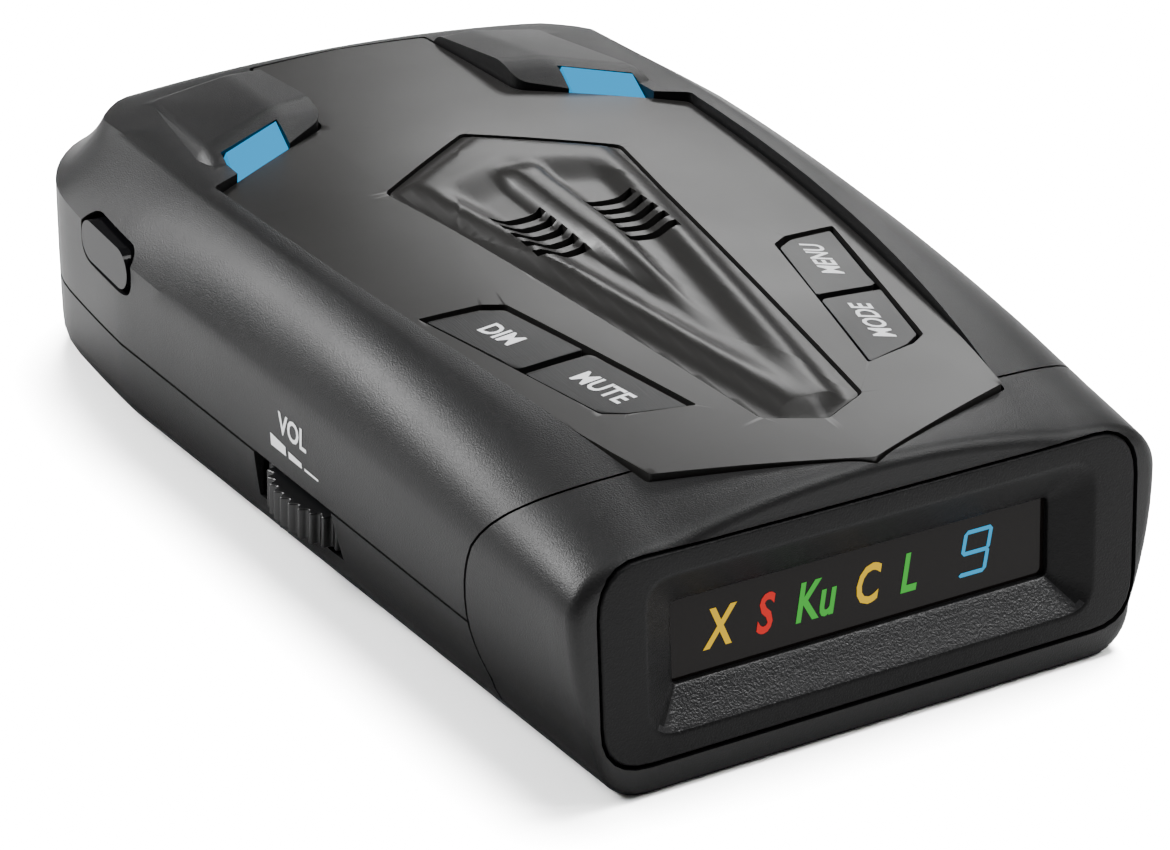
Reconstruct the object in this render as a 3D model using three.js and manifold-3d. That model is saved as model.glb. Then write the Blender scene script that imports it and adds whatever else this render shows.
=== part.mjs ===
// A windscreen radar detector. Millimetres, +Z up, +Y towards the antenna end, the display faces -Y.
// The origin is at the middle of the underside.
import * as THREE from 'three';
import { LoftGeometry } from 'three/addons/geometries/LoftGeometry.js';
import { mergeVertices } from 'three/addons/utils/BufferGeometryUtils.js';
import Module from 'manifold-3d';

const wasm = await Module();
wasm.setup();

// Case
const CASE_LENGTH = 108;
const CASE_WIDTH = 72.6;
const CASE_HEIGHT = 25.7;          // top skin at mid length, on the centre line
const REAR_WIDTH = 60.4;
const WIDEST_FROM_FRONT = 30;
const FRONT_CORNER = 17;
const FRONT_TAPER = 2;
const FRONT_EDGE = 5;
const BASE_CORNER = 4.2;
const SHOULDER = {                 // from the widest line up to the top skin, at each end
  rear: { drop: 8.5, inward: 0.5, down: 0.3 },
  front: { drop: 7, inward: 3, down: 2.2 },
};
const REAR_LEAN = 2.4;             // how far the side walls lean out, at each end
const FRONT_LEAN = 0.6;
const REAR_EDGE = 1.1;
const REAR_TILT = THREE.MathUtils.degToRad(8.5);
const CROWN_FALL = { rear: 1.17, front: 1.9 };     // of the top's centre line, by each end
const LIP_PEAK = -10;              // where the top's side edges stand highest
const LIP_FALL = { rear: 3.48, front: 3.28 };      // of the side edges, by each end
const SIDE_FALL = 2.64;            // of the top skin, by the case's full half width
const WALL = 2;
const FLOOR = 1.8;
const SEAM_Z = 9.2;
const GAP = 0.3;                   // between pieces that meet

// Top trim and cowl
const PLATE_THICKNESS = 1.8;
const WELL_FLOOR = 1.5;
const PLATE_REAR_WIDTH = 36.4;
const PLATE_WIDTH = 53;
const TONGUE_WIDTH = 21.4;
const LIP_WIDTH = 2;
const COWL_RISE = 0.9;
const COWL_WIDTH = 25.8;
const COWL_REAR_WIDTH = 10;
const RIDGE_RISE = 1.3;
const LOUVRES = 5;
const LOUVRE_PITCH = 2.05;
const LOUVRE_WIDTH = 1.1;
const LOUVRE_LENGTH = 5.2;
const SPEAKER_Y = -2;

// Display
const BEZEL = { width: 55.2, height: 18.6, corner: 4.5, depth: 3.4, z: 12.2 };
const FUNNEL = { width: 45.4, height: 13.6, depth: 2.1 };
const WINDOW = { width: 39.2, height: 7.6, thickness: 1, lap: 1.4 };
const MODULE = { width: 41, height: 8.6, depth: 2.4 };
const DISPLAY_BOARD = { width: 46, height: 15, thickness: 1.2 };

// Electronics
const BOARD_Z = 10.4;
const BOARD_THICKNESS = 1.2;
const HORN = { width: 29, throat: 15, height: 7.8, length: 31, wall: 1.2, x: -3.5 };
const SPEAKER = { radius: 13, height: 3, magnet: 6.8, magnetHeight: 2.2 };
const SWITCH = { width: 6, height: 3.5, actuator: 1.6, travel: 0.5 };
const WHEEL = { radius: 9.5, thickness: 3.2, proud: 1.8, y: -7.2, z: 4.8, ribs: 36, bore: 1.8, margin: 0.8 };
const JACK = { length: 8, width: 8.6, height: 7.8, bore: 3.2, y: -21.5 };
const PIPE_RADIUS = 1.5;

// Side button and fasteners
const RELEASE = { length: 10.6, height: 4.2, y: 27, z: 17.6 };
const RELEASE_SETBACK = 1.9;       // from the wall's inside to the button's flange
const FLANGE = 1.2;
const SPRING = { radius: 1.3, wire: 0.35, turns: 5, length: 4.4 };
const BRACKET_SLOT = { width: 26, height: 4.6, depth: 9.5, z: 5.6, wall: 1.4 };
const SCREW = { head: 2.3, shank: 1.1, headHeight: 1.4, post: 2.7, sink: 1.6, tip: 16.8 };
const CASE_SCREWS = [[-28.5, 41], [28.5, 41], [-23, -31], [23, -31]];
const BOARD_SCREWS = [[3, -36.6], [24.5, 12], [-20.5, 8]];

const REAR = -CASE_LENGTH / 2;
const FRONT = CASE_LENGTH / 2;
const WIDEST = FRONT - WIDEST_FROM_FRONT;
const BOARD_TOP = BOARD_Z + BOARD_THICKNESS;
const FACE_Y = REAR + Math.tan(REAR_TILT) * (BEZEL.z - REAR_EDGE);
const { lerp, clamp } = THREE.MathUtils;

// ---- solids --------------------------------------------------------------------------------

function toSolid(geometry) {
  const bare = new THREE.BufferGeometry();
  bare.setAttribute('position', geometry.attributes.position);
  bare.setIndex(geometry.index);
  const merged = mergeVertices(bare, 1e-4);
  const triVerts = Uint32Array.from(merged.index.array);
  const vertProperties = Float32Array.from(merged.attributes.position.array);
  return new wasm.Manifold(new wasm.Mesh({ numProp: 3, vertProperties, triVerts }));
}

function toGeometry(solid) {
  const mesh = solid.getMesh();
  const geometry = new THREE.BufferGeometry();
  geometry.setAttribute('position', new THREE.BufferAttribute(Float32Array.from(mesh.vertProperties), 3));
  geometry.setIndex(new THREE.BufferAttribute(Uint32Array.from(mesh.triVerts), 1));
  return geometry;
}

const box = (width, depth, height, x, y, z) => (
  toSolid(new THREE.BoxGeometry(width, depth, height).translate(x, y, z + height / 2))
);

function rod(radius, x, y, low, high, sides = 20) {
  const geometry = new THREE.CylinderGeometry(radius, radius, high - low, sides);
  return toSolid(geometry.rotateX(Math.PI / 2).translate(x, y, (low + high) / 2));
}

function prism(outline, low, high, curveSegments = 6) {
  const drawn = outline instanceof THREE.Shape;
  const shape = drawn ? outline : new THREE.Shape(outline.map(([x, y]) => new THREE.Vector2(x, y)));
  const geometry = new THREE.ExtrudeGeometry(shape, { depth: high - low, bevelEnabled: false, curveSegments });
  return toSolid(geometry.translate(0, 0, low));
}

// A prism along X from an outline of (y, z) points.
function crossPrism(shape, left, right, curveSegments = 8) {
  const depth = right - left;
  const geometry = new THREE.ExtrudeGeometry(shape, { depth, bevelEnabled: false, curveSegments });
  geometry.rotateX(Math.PI / 2).rotateZ(Math.PI / 2);
  return toSolid(geometry.translate(left, 0, 0));
}

// Sections may run either way round: they are turned so that they wind about the way the loft goes.
function loft(sections) {
  const [first] = sections;
  const total = (points) => points.reduce((sum, point) => sum.add(point), new THREE.Vector3());
  const middle = (points) => total(points).divideScalar(points.length);
  const start = middle(first);
  const winding = new THREE.Vector3();
  first.forEach((point, index) => {
    const next = first[(index + 1) % first.length];
    winding.add(point.clone().sub(start).cross(next.clone().sub(start)));
  });
  const ahead = middle(sections.at(-1)).sub(start);
  const wound = winding.dot(ahead) > 0 ? sections : sections.map((points) => [...points].reverse());
  return toSolid(new LoftGeometry(wound, { capStart: true, capEnd: true }));
}

function roundedRect(width, height, corner, x = 0, y = 0) {
  const w = width / 2;
  const h = height / 2;
  const r = Math.min(corner, w, h);
  const shape = new THREE.Shape();
  shape.moveTo(x - w + r, y - h);
  shape.lineTo(x + w - r, y - h);
  shape.absarc(x + w - r, y - h + r, r, -Math.PI / 2, 0);
  shape.lineTo(x + w, y + h - r);
  shape.absarc(x + w - r, y + h - r, r, 0, Math.PI / 2);
  shape.lineTo(x - w + r, y + h);
  shape.absarc(x - w + r, y + h - r, r, Math.PI / 2, Math.PI);
  shape.lineTo(x - w, y - h + r);
  shape.absarc(x - w + r, y - h + r, r, Math.PI, Math.PI * 1.5);
  return shape;
}

const mirrored = (points) => [...points, ...points.map(([x, y]) => [-x, y]).reverse()];

// ---- the case form -------------------------------------------------------------------------

function crownHeight(y) {
  return CASE_HEIGHT - (y < 0 ? CROWN_FALL.rear : CROWN_FALL.front) * (2 * y / CASE_LENGTH) ** 2;
}

function lipHeight(y) {
  const behind = y < LIP_PEAK;
  const share = (y - LIP_PEAK) / ((behind ? REAR : FRONT) - LIP_PEAK);
  return CASE_HEIGHT - (behind ? LIP_FALL.rear : LIP_FALL.front) * share ** 2;
}

function plateEdge(y) {
  const start = new THREE.Vector2(PLATE_REAR_WIDTH / 2, REAR + 10.6);
  const end = new THREE.Vector2(PLATE_WIDTH / 2, WIDEST - 3.1);
  const t = clamp((y - start.y) / (end.y - start.y), 0, 1);
  return lerp(start.x, end.x, t) + 6.2 * t * (1 - t);
}

function halfWidth(y) {
  if (y < WIDEST) return lerp(REAR_WIDTH / 2, CASE_WIDTH / 2, (y - REAR) / (WIDEST - REAR));
  const taper = FRONT_TAPER * ((y - WIDEST) / WIDEST_FROM_FRONT) ** 2;
  const into = Math.max(0, y - (FRONT - FRONT_CORNER));
  return CASE_WIDTH / 2 - taper - FRONT_CORNER + Math.sqrt(Math.max(0, FRONT_CORNER ** 2 - into ** 2));
}

// Half of one cross-section, from the base's edge round to the middle of the top.
function halfSection(y, inset, drop) {
  const ahead = (y - REAR) / (WIDEST - REAR);
  const edge = Math.max(0, y - (FRONT - FRONT_EDGE));
  const round = FRONT_EDGE - Math.sqrt(Math.max(0, FRONT_EDGE ** 2 - edge ** 2));
  const wide = halfWidth(y) - inset;
  const share = clamp(ahead, 0, 1.2);
  const foot = wide - lerp(REAR_LEAN, FRONT_LEAN, share);
  const low = inset + round * 0.8;
  const shoulderDrop = lerp(SHOULDER.rear.drop, SHOULDER.front.drop, share);
  const shoulder = CASE_HEIGHT - shoulderDrop - inset * 0.4 - round * 0.6;
  const lip = Math.min(plateEdge(y) + LIP_WIDTH, wide - 5) - inset * 0.3;
  const top = lipHeight(y) - inset - drop - round;
  const corner = BASE_CORNER - inset * 0.6;
  const points = [];
  for (let step = 0; step <= 3; step += 1) {
    const angle = (step / 3) * Math.PI / 2;
    points.push([foot - corner * (1 - Math.sin(angle)), low + corner * (1 - Math.cos(angle))]);
  }
  points.push([lerp(foot, wide, 0.62), lerp(low + corner, shoulder, 0.5)], [wide, shoulder]);
  const curve = new THREE.QuadraticBezierCurve(
    new THREE.Vector2(wide, shoulder),
    new THREE.Vector2(
      wide - lerp(SHOULDER.rear.inward, SHOULDER.front.inward, share),
      top - lerp(SHOULDER.rear.down, SHOULDER.front.down, share),
    ),
    new THREE.Vector2(lip, top),
  );
  for (const point of curve.getPoints(6).slice(1)) points.push([point.x, point.y]);
  points.push([0, Math.max(top + 0.3, crownHeight(y) - inset - drop - round)]);
  return points;
}

function section(y, inset, drop, tilt) {
  const half = halfSection(y, inset, drop);
  const left = half.slice(0, -1).reverse().map(([x, z]) => [-x, z]);
  const slope = Math.tan(REAR_TILT) * tilt;
  return [...half, ...left].map(([x, z]) => new THREE.Vector3(x, y + slope * (z - REAR_EDGE), z));
}

// The whole outer form drawn in by `inset`, with the top lowered by `drop` more.
function caseForm(inset, drop, from, to) {
  const rearEnd = REAR + from;
  const frontEnd = FRONT - to;
  const sections = [];
  if (from === 0) {
    sections.push(section(rearEnd, inset + REAR_EDGE, drop, 1));
    sections.push(section(rearEnd + REAR_EDGE * 0.3, inset + REAR_EDGE * 0.3, drop, 1));
  }
  const straight = [0.02, 0.12, 0.22, 0.34, 0.48, 0.62, 0.76, 0.88, 1];
  const bodyStart = rearEnd + (from === 0 ? REAR_EDGE : 0);
  for (const share of from === 0 ? straight : [0, ...straight]) {
    const y = lerp(bodyStart, WIDEST, from === 0 && share === 0.02 ? 0 : share);
    sections.push(section(y, inset, drop, clamp(1 - (y - bodyStart) / 22, 0, 1)));
  }
  const cornerStart = FRONT - FRONT_CORNER;
  sections.push(section(lerp(WIDEST, cornerStart, 0.5), inset, drop, 0));
  for (let step = 0; step <= 6; step += 1) {
    const y = cornerStart + FRONT_CORNER * Math.sin((step / 6) * Math.PI / 2);
    if (y < frontEnd) sections.push(section(y, inset, drop, 0));
  }
  sections.push(section(frontEnd, inset, drop, 0));
  return loft(sections);
}

// Everything under the crowned top skin, lowered by `drop`.
function underCrown(drop) {
  const half = CASE_WIDTH / 2;
  const columns = [-half, -half * 0.66, -half * 0.33, 0, half * 0.33, half * 0.66, half];
  const sections = [];
  for (let step = 0; step <= 10; step += 1) {
    const y = lerp(REAR - 5, FRONT + 5, step / 10);
    const skinHeight = (x) => crownHeight(y) - drop - SIDE_FALL * (x / half) ** 2;
    const skin = columns.map((x) => new THREE.Vector3(x, y, skinHeight(x)));
    sections.push([...skin, new THREE.Vector3(half, y, -5), new THREE.Vector3(-half, y, -5)]);
  }
  return loft(sections);
}

// The bowed joint between the case and the display collar, as a region behind it.
function behindCollarSeam(shift) {
  const y = REAR + 18.2 + shift;
  const shape = new THREE.Shape();
  shape.moveTo(REAR - 10, -5);
  shape.lineTo(y - 8.5, -5);
  shape.bezierCurveTo(y - 5.5, 1, y, 4, y, 10);
  shape.bezierCurveTo(y, 17, y - 2.2, 21.2, y - 8.6, CASE_HEIGHT + 0.5);
  shape.lineTo(y - 10, CASE_HEIGHT + 6);
  shape.lineTo(REAR - 10, CASE_HEIGHT + 6);
  return crossPrism(shape, -CASE_WIDTH, CASE_WIDTH);
}

// The outline of the trim plate: a shield with a point at the rear and a tongue at the front.
function plateOutline(grow) {
  const points = [[0, REAR + 4 - grow]];
  for (let step = 0; step <= 8; step += 1) {
    const y = lerp(REAR + 10.6, WIDEST - 3.6, step / 8);
    points.push([plateEdge(y) + grow, step === 0 ? y - grow * 0.4 : y]);
  }
  points.push([PLATE_WIDTH / 2 - 0.6 + grow, WIDEST - 2.4 + grow * 0.4]);
  points.push([TONGUE_WIDTH / 2 + 0.9 + grow * 0.6, WIDEST + 5.6 + grow]);
  points.push([TONGUE_WIDTH / 2 + grow, WIDEST + 6.8 + grow]);
  points.push([TONGUE_WIDTH / 2 - 0.6 + grow, FRONT - 5.6 + grow]);
  points.push([0, FRONT - 5 + grow]);
  return [...points, ...points.slice(1, -1).reverse().map(([x, y]) => [-x, y])];
}

function cowlOutline(grow) {
  const rear = REAR + 13.7;
  const half = [[0, rear - 2.4 - grow], [COWL_REAR_WIDTH / 2 + grow, rear - grow * 0.5]];
  half.push([COWL_WIDTH / 2 - 1.8 + grow, SPEAKER_Y + 4.5], [COWL_WIDTH / 2 + grow, WIDEST - 11 + grow * 0.5]);
  half.push([0, WIDEST - 2.3 + grow]);
  return [...half, ...half.slice(1, -1).reverse().map(([x, y]) => [-x, y])];
}

// Where each button pocket stands beside the cowl, for the right-hand side.
const POCKET = { rear: -35.4, front: -10.6, rearIn: 8.9, rearOut: 16.6, frontIn: 14.8, frontOut: 22.4 };
const CAP_SPLIT = -23.2;

function pocketEdge(y, inner) {
  const t = (y - POCKET.rear) / (POCKET.front - POCKET.rear);
  return inner ? lerp(POCKET.rearIn, POCKET.frontIn, t) : lerp(POCKET.rearOut, POCKET.frontOut, t);
}

function pocketOutline(side, from, to, shrink) {
  const low = from + shrink;
  const high = to - shrink;
  const cut = 1.6;
  const points = [
    [pocketEdge(low, true) + shrink, low - (from === POCKET.rear ? 0.6 : 0)],
    [pocketEdge(low, false) - shrink - (from === POCKET.rear ? cut : 0), low + (from === POCKET.rear ? 1 : 0)],
    [pocketEdge(low + cut, false) - shrink, low + cut * 1.4],
    [pocketEdge(high, false) - shrink, high],
    [pocketEdge(high, true) + shrink + (to === POCKET.front ? cut : 0), high - (to === POCKET.front ? 0.7 : 0)],
    [pocketEdge(high - cut, true) + shrink, high - cut * 1.2],
  ];
  return side > 0 ? points : points.map(([x, y]) => [-x, y]).reverse();
}

// ---- placing ---------------------------------------------------------------------------------

const detector = new THREE.Group();

function addPiece(name, solid, color, roughness, metalness = 0) {
  const material = new THREE.MeshStandardMaterial({ color, roughness, metalness });
  const mesh = new THREE.Mesh(toGeometry(solid), material);
  mesh.name = name;
  detector.add(mesh);
  return mesh;
}

// Turns a solid built around the bezel's middle (X across, Y inwards, Z up the face) to the tilted rear face.
function onRearFace(solid) {
  const matrix = new THREE.Matrix4().makeTranslation(0, FACE_Y, BEZEL.z);
  matrix.multiply(new THREE.Matrix4().makeRotationX(-REAR_TILT));
  return solid.transform([...matrix.elements]);
}

const BLACK = 0x17181a;
const GLOSS_BLACK = 0x101113;
const BOARD_GREEN = 0x1c5a34;
const STEEL = 0x9aa0a6;

// A slab standing in from the rear face, from `near` to `far` below its surface.
function faceSlab(shape, near, far) {
  const depth = far - near;
  const geometry = new THREE.ExtrudeGeometry(shape, { depth, bevelEnabled: false, curveSegments: 5 });
  geometry.rotateX(Math.PI / 2).translate(0, far, 0);
  return toSolid(geometry);
}

// ---- case ------------------------------------------------------------------------------------

const outerForm = caseForm(0, 0, 0, 0);
const wellFloorDrop = PLATE_THICKNESS + GAP + WELL_FLOOR;
const cavity = caseForm(WALL, 0.6, 6.4, WALL + 0.4).intersect(underCrown(wellFloorDrop));
const plateWell = prism(plateOutline(GAP), CASE_HEIGHT - 8, CASE_HEIGHT + 6)
  .subtract(underCrown(PLATE_THICKNESS + GAP));

// The brow that stands in front of each alert lens, for one side.
function brow(side) {
  const profile = (x, height, rearY) => [
    new THREE.Vector3(x, rearY - 3.1, CASE_HEIGHT - 10),
    new THREE.Vector3(x, rearY - 3.1, height - 2.5),
    new THREE.Vector3(x, rearY, height - 0.5),
    new THREE.Vector3(x, rearY + 2.6, height),
    new THREE.Vector3(x * 0.94, FRONT - 7, height - 1.6),
    new THREE.Vector3(x * 0.9, FRONT - 3.4, height - 4),
    new THREE.Vector3(x * 0.9, FRONT - 2.4, CASE_HEIGHT - 10),
  ];
  const inner = profile(side * (TONGUE_WIDTH / 2 - 1), CASE_HEIGHT + 1.1, WIDEST + 7.8);
  const crest = profile(side * 15.6, CASE_HEIGHT + 1.2, WIDEST + 6.1);
  const outer = profile(side * 24.6, CASE_HEIGHT - 0.1, WIDEST + 2.6);
  const skirt = profile(side * 27.4, CASE_HEIGHT - 3.2, WIDEST + 1.4);
  return loft([inner, crest, outer, skirt]);
}

// The slanted alert lens, its corners moved out by `grow`, from `near` to `far` under its own face.
function lensBlock(side, grow, near, far) {
  const face = [
    [16.2 - grow, 3.6 - grow, -1.1 - grow],
    [23.3 + grow, 0.5 - grow, -2.1 - grow],
    [23.1 + grow, 3.3 + grow, -0.1 + grow],
    [16.3 - grow, 6.2 + grow, 0.8 + grow],
  ];
  const corners = (depth) => face.map(([x, y, z]) => (
    new THREE.Vector3(side * x, WIDEST + y + depth * 0.57, CASE_HEIGHT + z - depth * 0.82)));
  return loft([corners(near), corners(far)]);
}

const pipeSpot = (side) => [side * 19.6, WIDEST + 4.6];

function wheelCentre() {
  const wallThere = halfWidth(WHEEL.y) - REAR_LEAN * 0.4;
  return [-(wallThere + WHEEL.proud - WHEEL.radius), WHEEL.y];
}

function upperHousing() {
  let solid = outerForm.add(brow(1)).add(brow(-1)).subtract(cavity);
  solid = solid.subtract(behindCollarSeam(GAP / 2)).subtract(plateWell);
  solid = solid.subtract(box(CASE_WIDTH * 2, CASE_LENGTH * 2, SEAM_Z + GAP / 2 + 5, 0, 0, -5));
  // Hanging posts for the case screws and the board screws.
  const roof = underCrown(PLATE_THICKNESS + 2 * GAP);
  const post = (radius, [x, y], low) => rod(radius, x, y, low, CASE_HEIGHT).intersect(roof);
  for (const spot of CASE_SCREWS) solid = solid.add(post(SCREW.post, spot, SEAM_Z + GAP / 2));
  for (const spot of BOARD_SCREWS) solid = solid.add(post(SCREW.post - 0.5, spot, BOARD_TOP + GAP));
  for (const [x, y] of [...CASE_SCREWS, ...BOARD_SCREWS]) {
    solid = solid.subtract(rod(SCREW.shank + GAP, x, y, SEAM_Z - 1, SCREW.tip + GAP, 16));
  }
  // The rib that the side button's spring pushes against.
  const ribX = springStart() + SPRING.length + GAP + 0.7;
  solid = solid.add(box(1.4, 6, CASE_HEIGHT, ribX, RELEASE.y, RELEASE.z - 3).intersect(roof));
  // Windows for the alert lights and the light pipes under them.
  for (const side of [-1, 1]) {
    solid = solid.subtract(lensBlock(side, GAP, -2, 2.3));
    solid = solid.subtract(rod(PIPE_RADIUS + GAP, ...pipeSpot(side), 8, CASE_HEIGHT - 1.8, 16));
  }
  // Sound opening under the cowl, and a hole for each button plunger.
  solid = solid.subtract(rod(10, 0, SPEAKER_Y, 12, CASE_HEIGHT + 3, 28));
  for (const { x, y } of buttons) {
    solid = solid.subtract(rod(SWITCH.actuator + 2 * GAP, x, y, 12, CASE_HEIGHT + 3, 16));
  }
  // Side button opening, power socket opening and the laser window.
  const buttonHole = roundedRect(RELEASE.length + 2 * GAP, RELEASE.height + 2 * GAP, 2.4, RELEASE.y, RELEASE.z);
  solid = solid.subtract(crossPrism(buttonHole, -CASE_WIDTH, -CASE_WIDTH / 2 + 6));
  const socketHole = new THREE.Shape().absarc(JACK.y, jackZ, JACK.bore + GAP, 0, Math.PI * 2);
  solid = solid.subtract(crossPrism(socketHole, 20, CASE_WIDTH));
  return solid.subtract(laserWindow(GAP, 0));
}

function lowerHousing() {
  let solid = outerForm.subtract(cavity).subtract(behindCollarSeam(GAP / 2));
  const ceiling = SEAM_Z - GAP / 2;
  for (const [x, y] of CASE_SCREWS) solid = solid.add(rod(SCREW.post, x, y, 0.6, ceiling));
  const socket = BRACKET_SLOT;
  const inner = FRONT - socket.depth - socket.wall;
  const shellWidth = socket.width + 2 * socket.wall;
  const shell = box(shellWidth, socket.depth, ceiling - FLOOR / 2, 0, inner + socket.depth / 2, FLOOR / 2);
  solid = solid.add(shell.intersect(outerForm));
  solid = solid.subtract(box(CASE_WIDTH * 2, CASE_LENGTH * 2, 60, 0, 0, ceiling));
  solid = solid.subtract(box(socket.width, socket.depth + 2, socket.height, 0,
    FRONT - socket.depth / 2 + 1, socket.z - socket.height / 2));
  for (const [x, y] of CASE_SCREWS) {
    solid = solid.subtract(rod(SCREW.head + GAP, x, y, -1, SCREW.sink + SCREW.headHeight + GAP, 16));
    solid = solid.subtract(rod(SCREW.shank + GAP, x, y, -1, SEAM_Z, 16));
  }
  // The slot that the thumbwheel looks out of.
  const [wheelX, wheelY] = wheelCentre();
  const slot = 2 * Math.sqrt(WHEEL.radius ** 2 - (WHEEL.radius - WHEEL.proud) ** 2) + 2 * WHEEL.margin;
  const slotLow = WHEEL.z - GAP * 1.5;
  solid = solid.subtract(rod(WHEEL.radius + 2 * GAP, wheelX, wheelY, slotLow, slotLow + SEAM_Z, 32));
  return solid.subtract(box(20, slot, SEAM_Z, wheelX - 12, wheelY, slotLow));
}

function collar() {
  let solid = outerForm.subtract(caseForm(WALL, 0.6, 6.4, WALL + 0.4));
  solid = solid.intersect(behindCollarSeam(-GAP / 2)).subtract(plateWell);
  const pocket = roundedRect(BEZEL.width + 2 * GAP, BEZEL.height + 2 * GAP, BEZEL.corner + GAP);
  const opening = roundedRect(BEZEL.width - 3, BEZEL.height - 3, BEZEL.corner - 1.5);
  solid = solid.subtract(onRearFace(faceSlab(pocket, -3, BEZEL.depth + GAP)));
  return solid.subtract(onRearFace(faceSlab(opening, 0, 9)));
}

// ---- display ---------------------------------------------------------------------------------

function bezel() {
  const ring = (width, height, corner, depth) => roundedRect(width, height, corner).getPoints(4).slice(0, -1)
    .map((point) => new THREE.Vector3(point.x, depth, point.y));
  let solid = faceSlab(roundedRect(BEZEL.width, BEZEL.height, BEZEL.corner), 0, BEZEL.depth);
  const steep = FUNNEL.depth / (FUNNEL.depth + 1);
  const mouthWidth = lerp(WINDOW.width, FUNNEL.width, 1 / steep);
  const mouth = ring(mouthWidth, lerp(WINDOW.height, FUNNEL.height, 1 / steep), 2.4, -1);
  solid = solid.subtract(loft([mouth, ring(WINDOW.width, WINDOW.height, 0.6, FUNNEL.depth)]));
  solid = solid.subtract(faceSlab(roundedRect(WINDOW.width, WINDOW.height, 0.6), 1, 9));
  const seat = roundedRect(WINDOW.width + 2 * (WINDOW.lap + GAP), WINDOW.height + 2 * (WINDOW.lap + GAP), 1);
  return onRearFace(solid.subtract(faceSlab(seat, FUNNEL.depth + GAP, 9)));
}

function displayPieces() {
  const windowNear = FUNNEL.depth + 2 * GAP;
  const pane = roundedRect(WINDOW.width + 2 * WINDOW.lap, WINDOW.height + 2 * WINDOW.lap, 0.8);
  const moduleNear = windowNear + WINDOW.thickness + GAP;
  const boardNear = moduleNear + MODULE.depth + GAP;
  const tube = roundedRect(MODULE.width, MODULE.height, 0.4);
  const card = roundedRect(DISPLAY_BOARD.width, DISPLAY_BOARD.height, 1);
  const windowSlab = faceSlab(pane, windowNear, windowNear + WINDOW.thickness);
  addPiece('display_window', onRearFace(windowSlab), 0x221c1a, 0.08);
  addPiece('display_module', onRearFace(faceSlab(tube, moduleNear, moduleNear + MODULE.depth)), 0x2a2c30, 0.4);
  const boardFar = boardNear + DISPLAY_BOARD.thickness;
  addPiece('display_board', onRearFace(faceSlab(card, boardNear, boardFar)), BOARD_GREEN, 0.55);
  const headerRear = FACE_Y + (boardFar + GAP) / Math.cos(REAR_TILT) + 0.3;
  const header = box(20, 3, 2.4, 0, headerRear + 1.5, BOARD_TOP + GAP);
  addPiece('board_header', header, 0x111111, 0.5);
}

// ---- electronics -----------------------------------------------------------------------------

const jackZ = BOARD_TOP + 2;

function mainBoard() {
  const side = [[19.5, REAR + 13], [25.6, REAR + 30], [30, WIDEST - 12], [30.6, WIDEST + 8], [26, FRONT - 8]];
  const outline = mirrored(side);
  let solid = prism(outline, BOARD_Z, BOARD_TOP);
  for (const [x, y] of CASE_SCREWS) solid = solid.subtract(rod(SCREW.post + 2 * GAP, x, y, 5, 16));
  for (const [x, y] of BOARD_SCREWS) solid = solid.subtract(rod(SCREW.shank + GAP, x, y, 5, 16));
  const notch = box(JACK.length + 12, JACK.width + 2 * GAP, 12, jackX() + 6 - GAP, JACK.y, 5);
  return solid.subtract(notch);
}

const jackX = () => halfWidth(JACK.y) - WALL - JACK.length / 2 - 2.8;

function powerJack() {
  const body = box(JACK.length, JACK.width, JACK.height, jackX(), JACK.y, jackZ - JACK.height / 2);
  const bore = new THREE.Shape().absarc(JACK.y, jackZ, JACK.bore, 0, Math.PI * 2);
  return body.subtract(crossPrism(bore, jackX() - JACK.length / 2 + 1.2, CASE_WIDTH / 2, 5));
}

function hornAntenna() {
  const low = BOARD_TOP + GAP;
  const front = FRONT - 8.6;
  const ring = (y, width, height, wall) => {
    const w = width / 2 - wall;
    const base = low + wall;
    const top = low + height - wall;
    return [[-w, base], [w, base], [w, top], [-w, top]].map(([x, z]) => new THREE.Vector3(HORN.x + x, y, z));
  };
  const rear = front - HORN.length;
  const flare = rear + 9;
  const { height, throat, width, wall } = HORN;
  const neck = height * 0.8;
  const outer = loft([ring(rear, throat, neck, 0), ring(flare, throat, neck, 0), ring(front, width, height, 0)]);
  const inner = loft([
    ring(rear + wall * 2, throat, neck, wall),
    ring(flare, throat, neck, wall),
    ring(front + 0.01, width, height, wall),
  ]);
  return outer.subtract(inner);
}

function shieldCan() {
  const low = BOARD_TOP + GAP;
  const y = SPEAKER_Y - 2;
  return box(24, 11, 3.4, 0, y, low).subtract(box(23, 10, 3.4, 0, y, low - 0.5));
}

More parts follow.
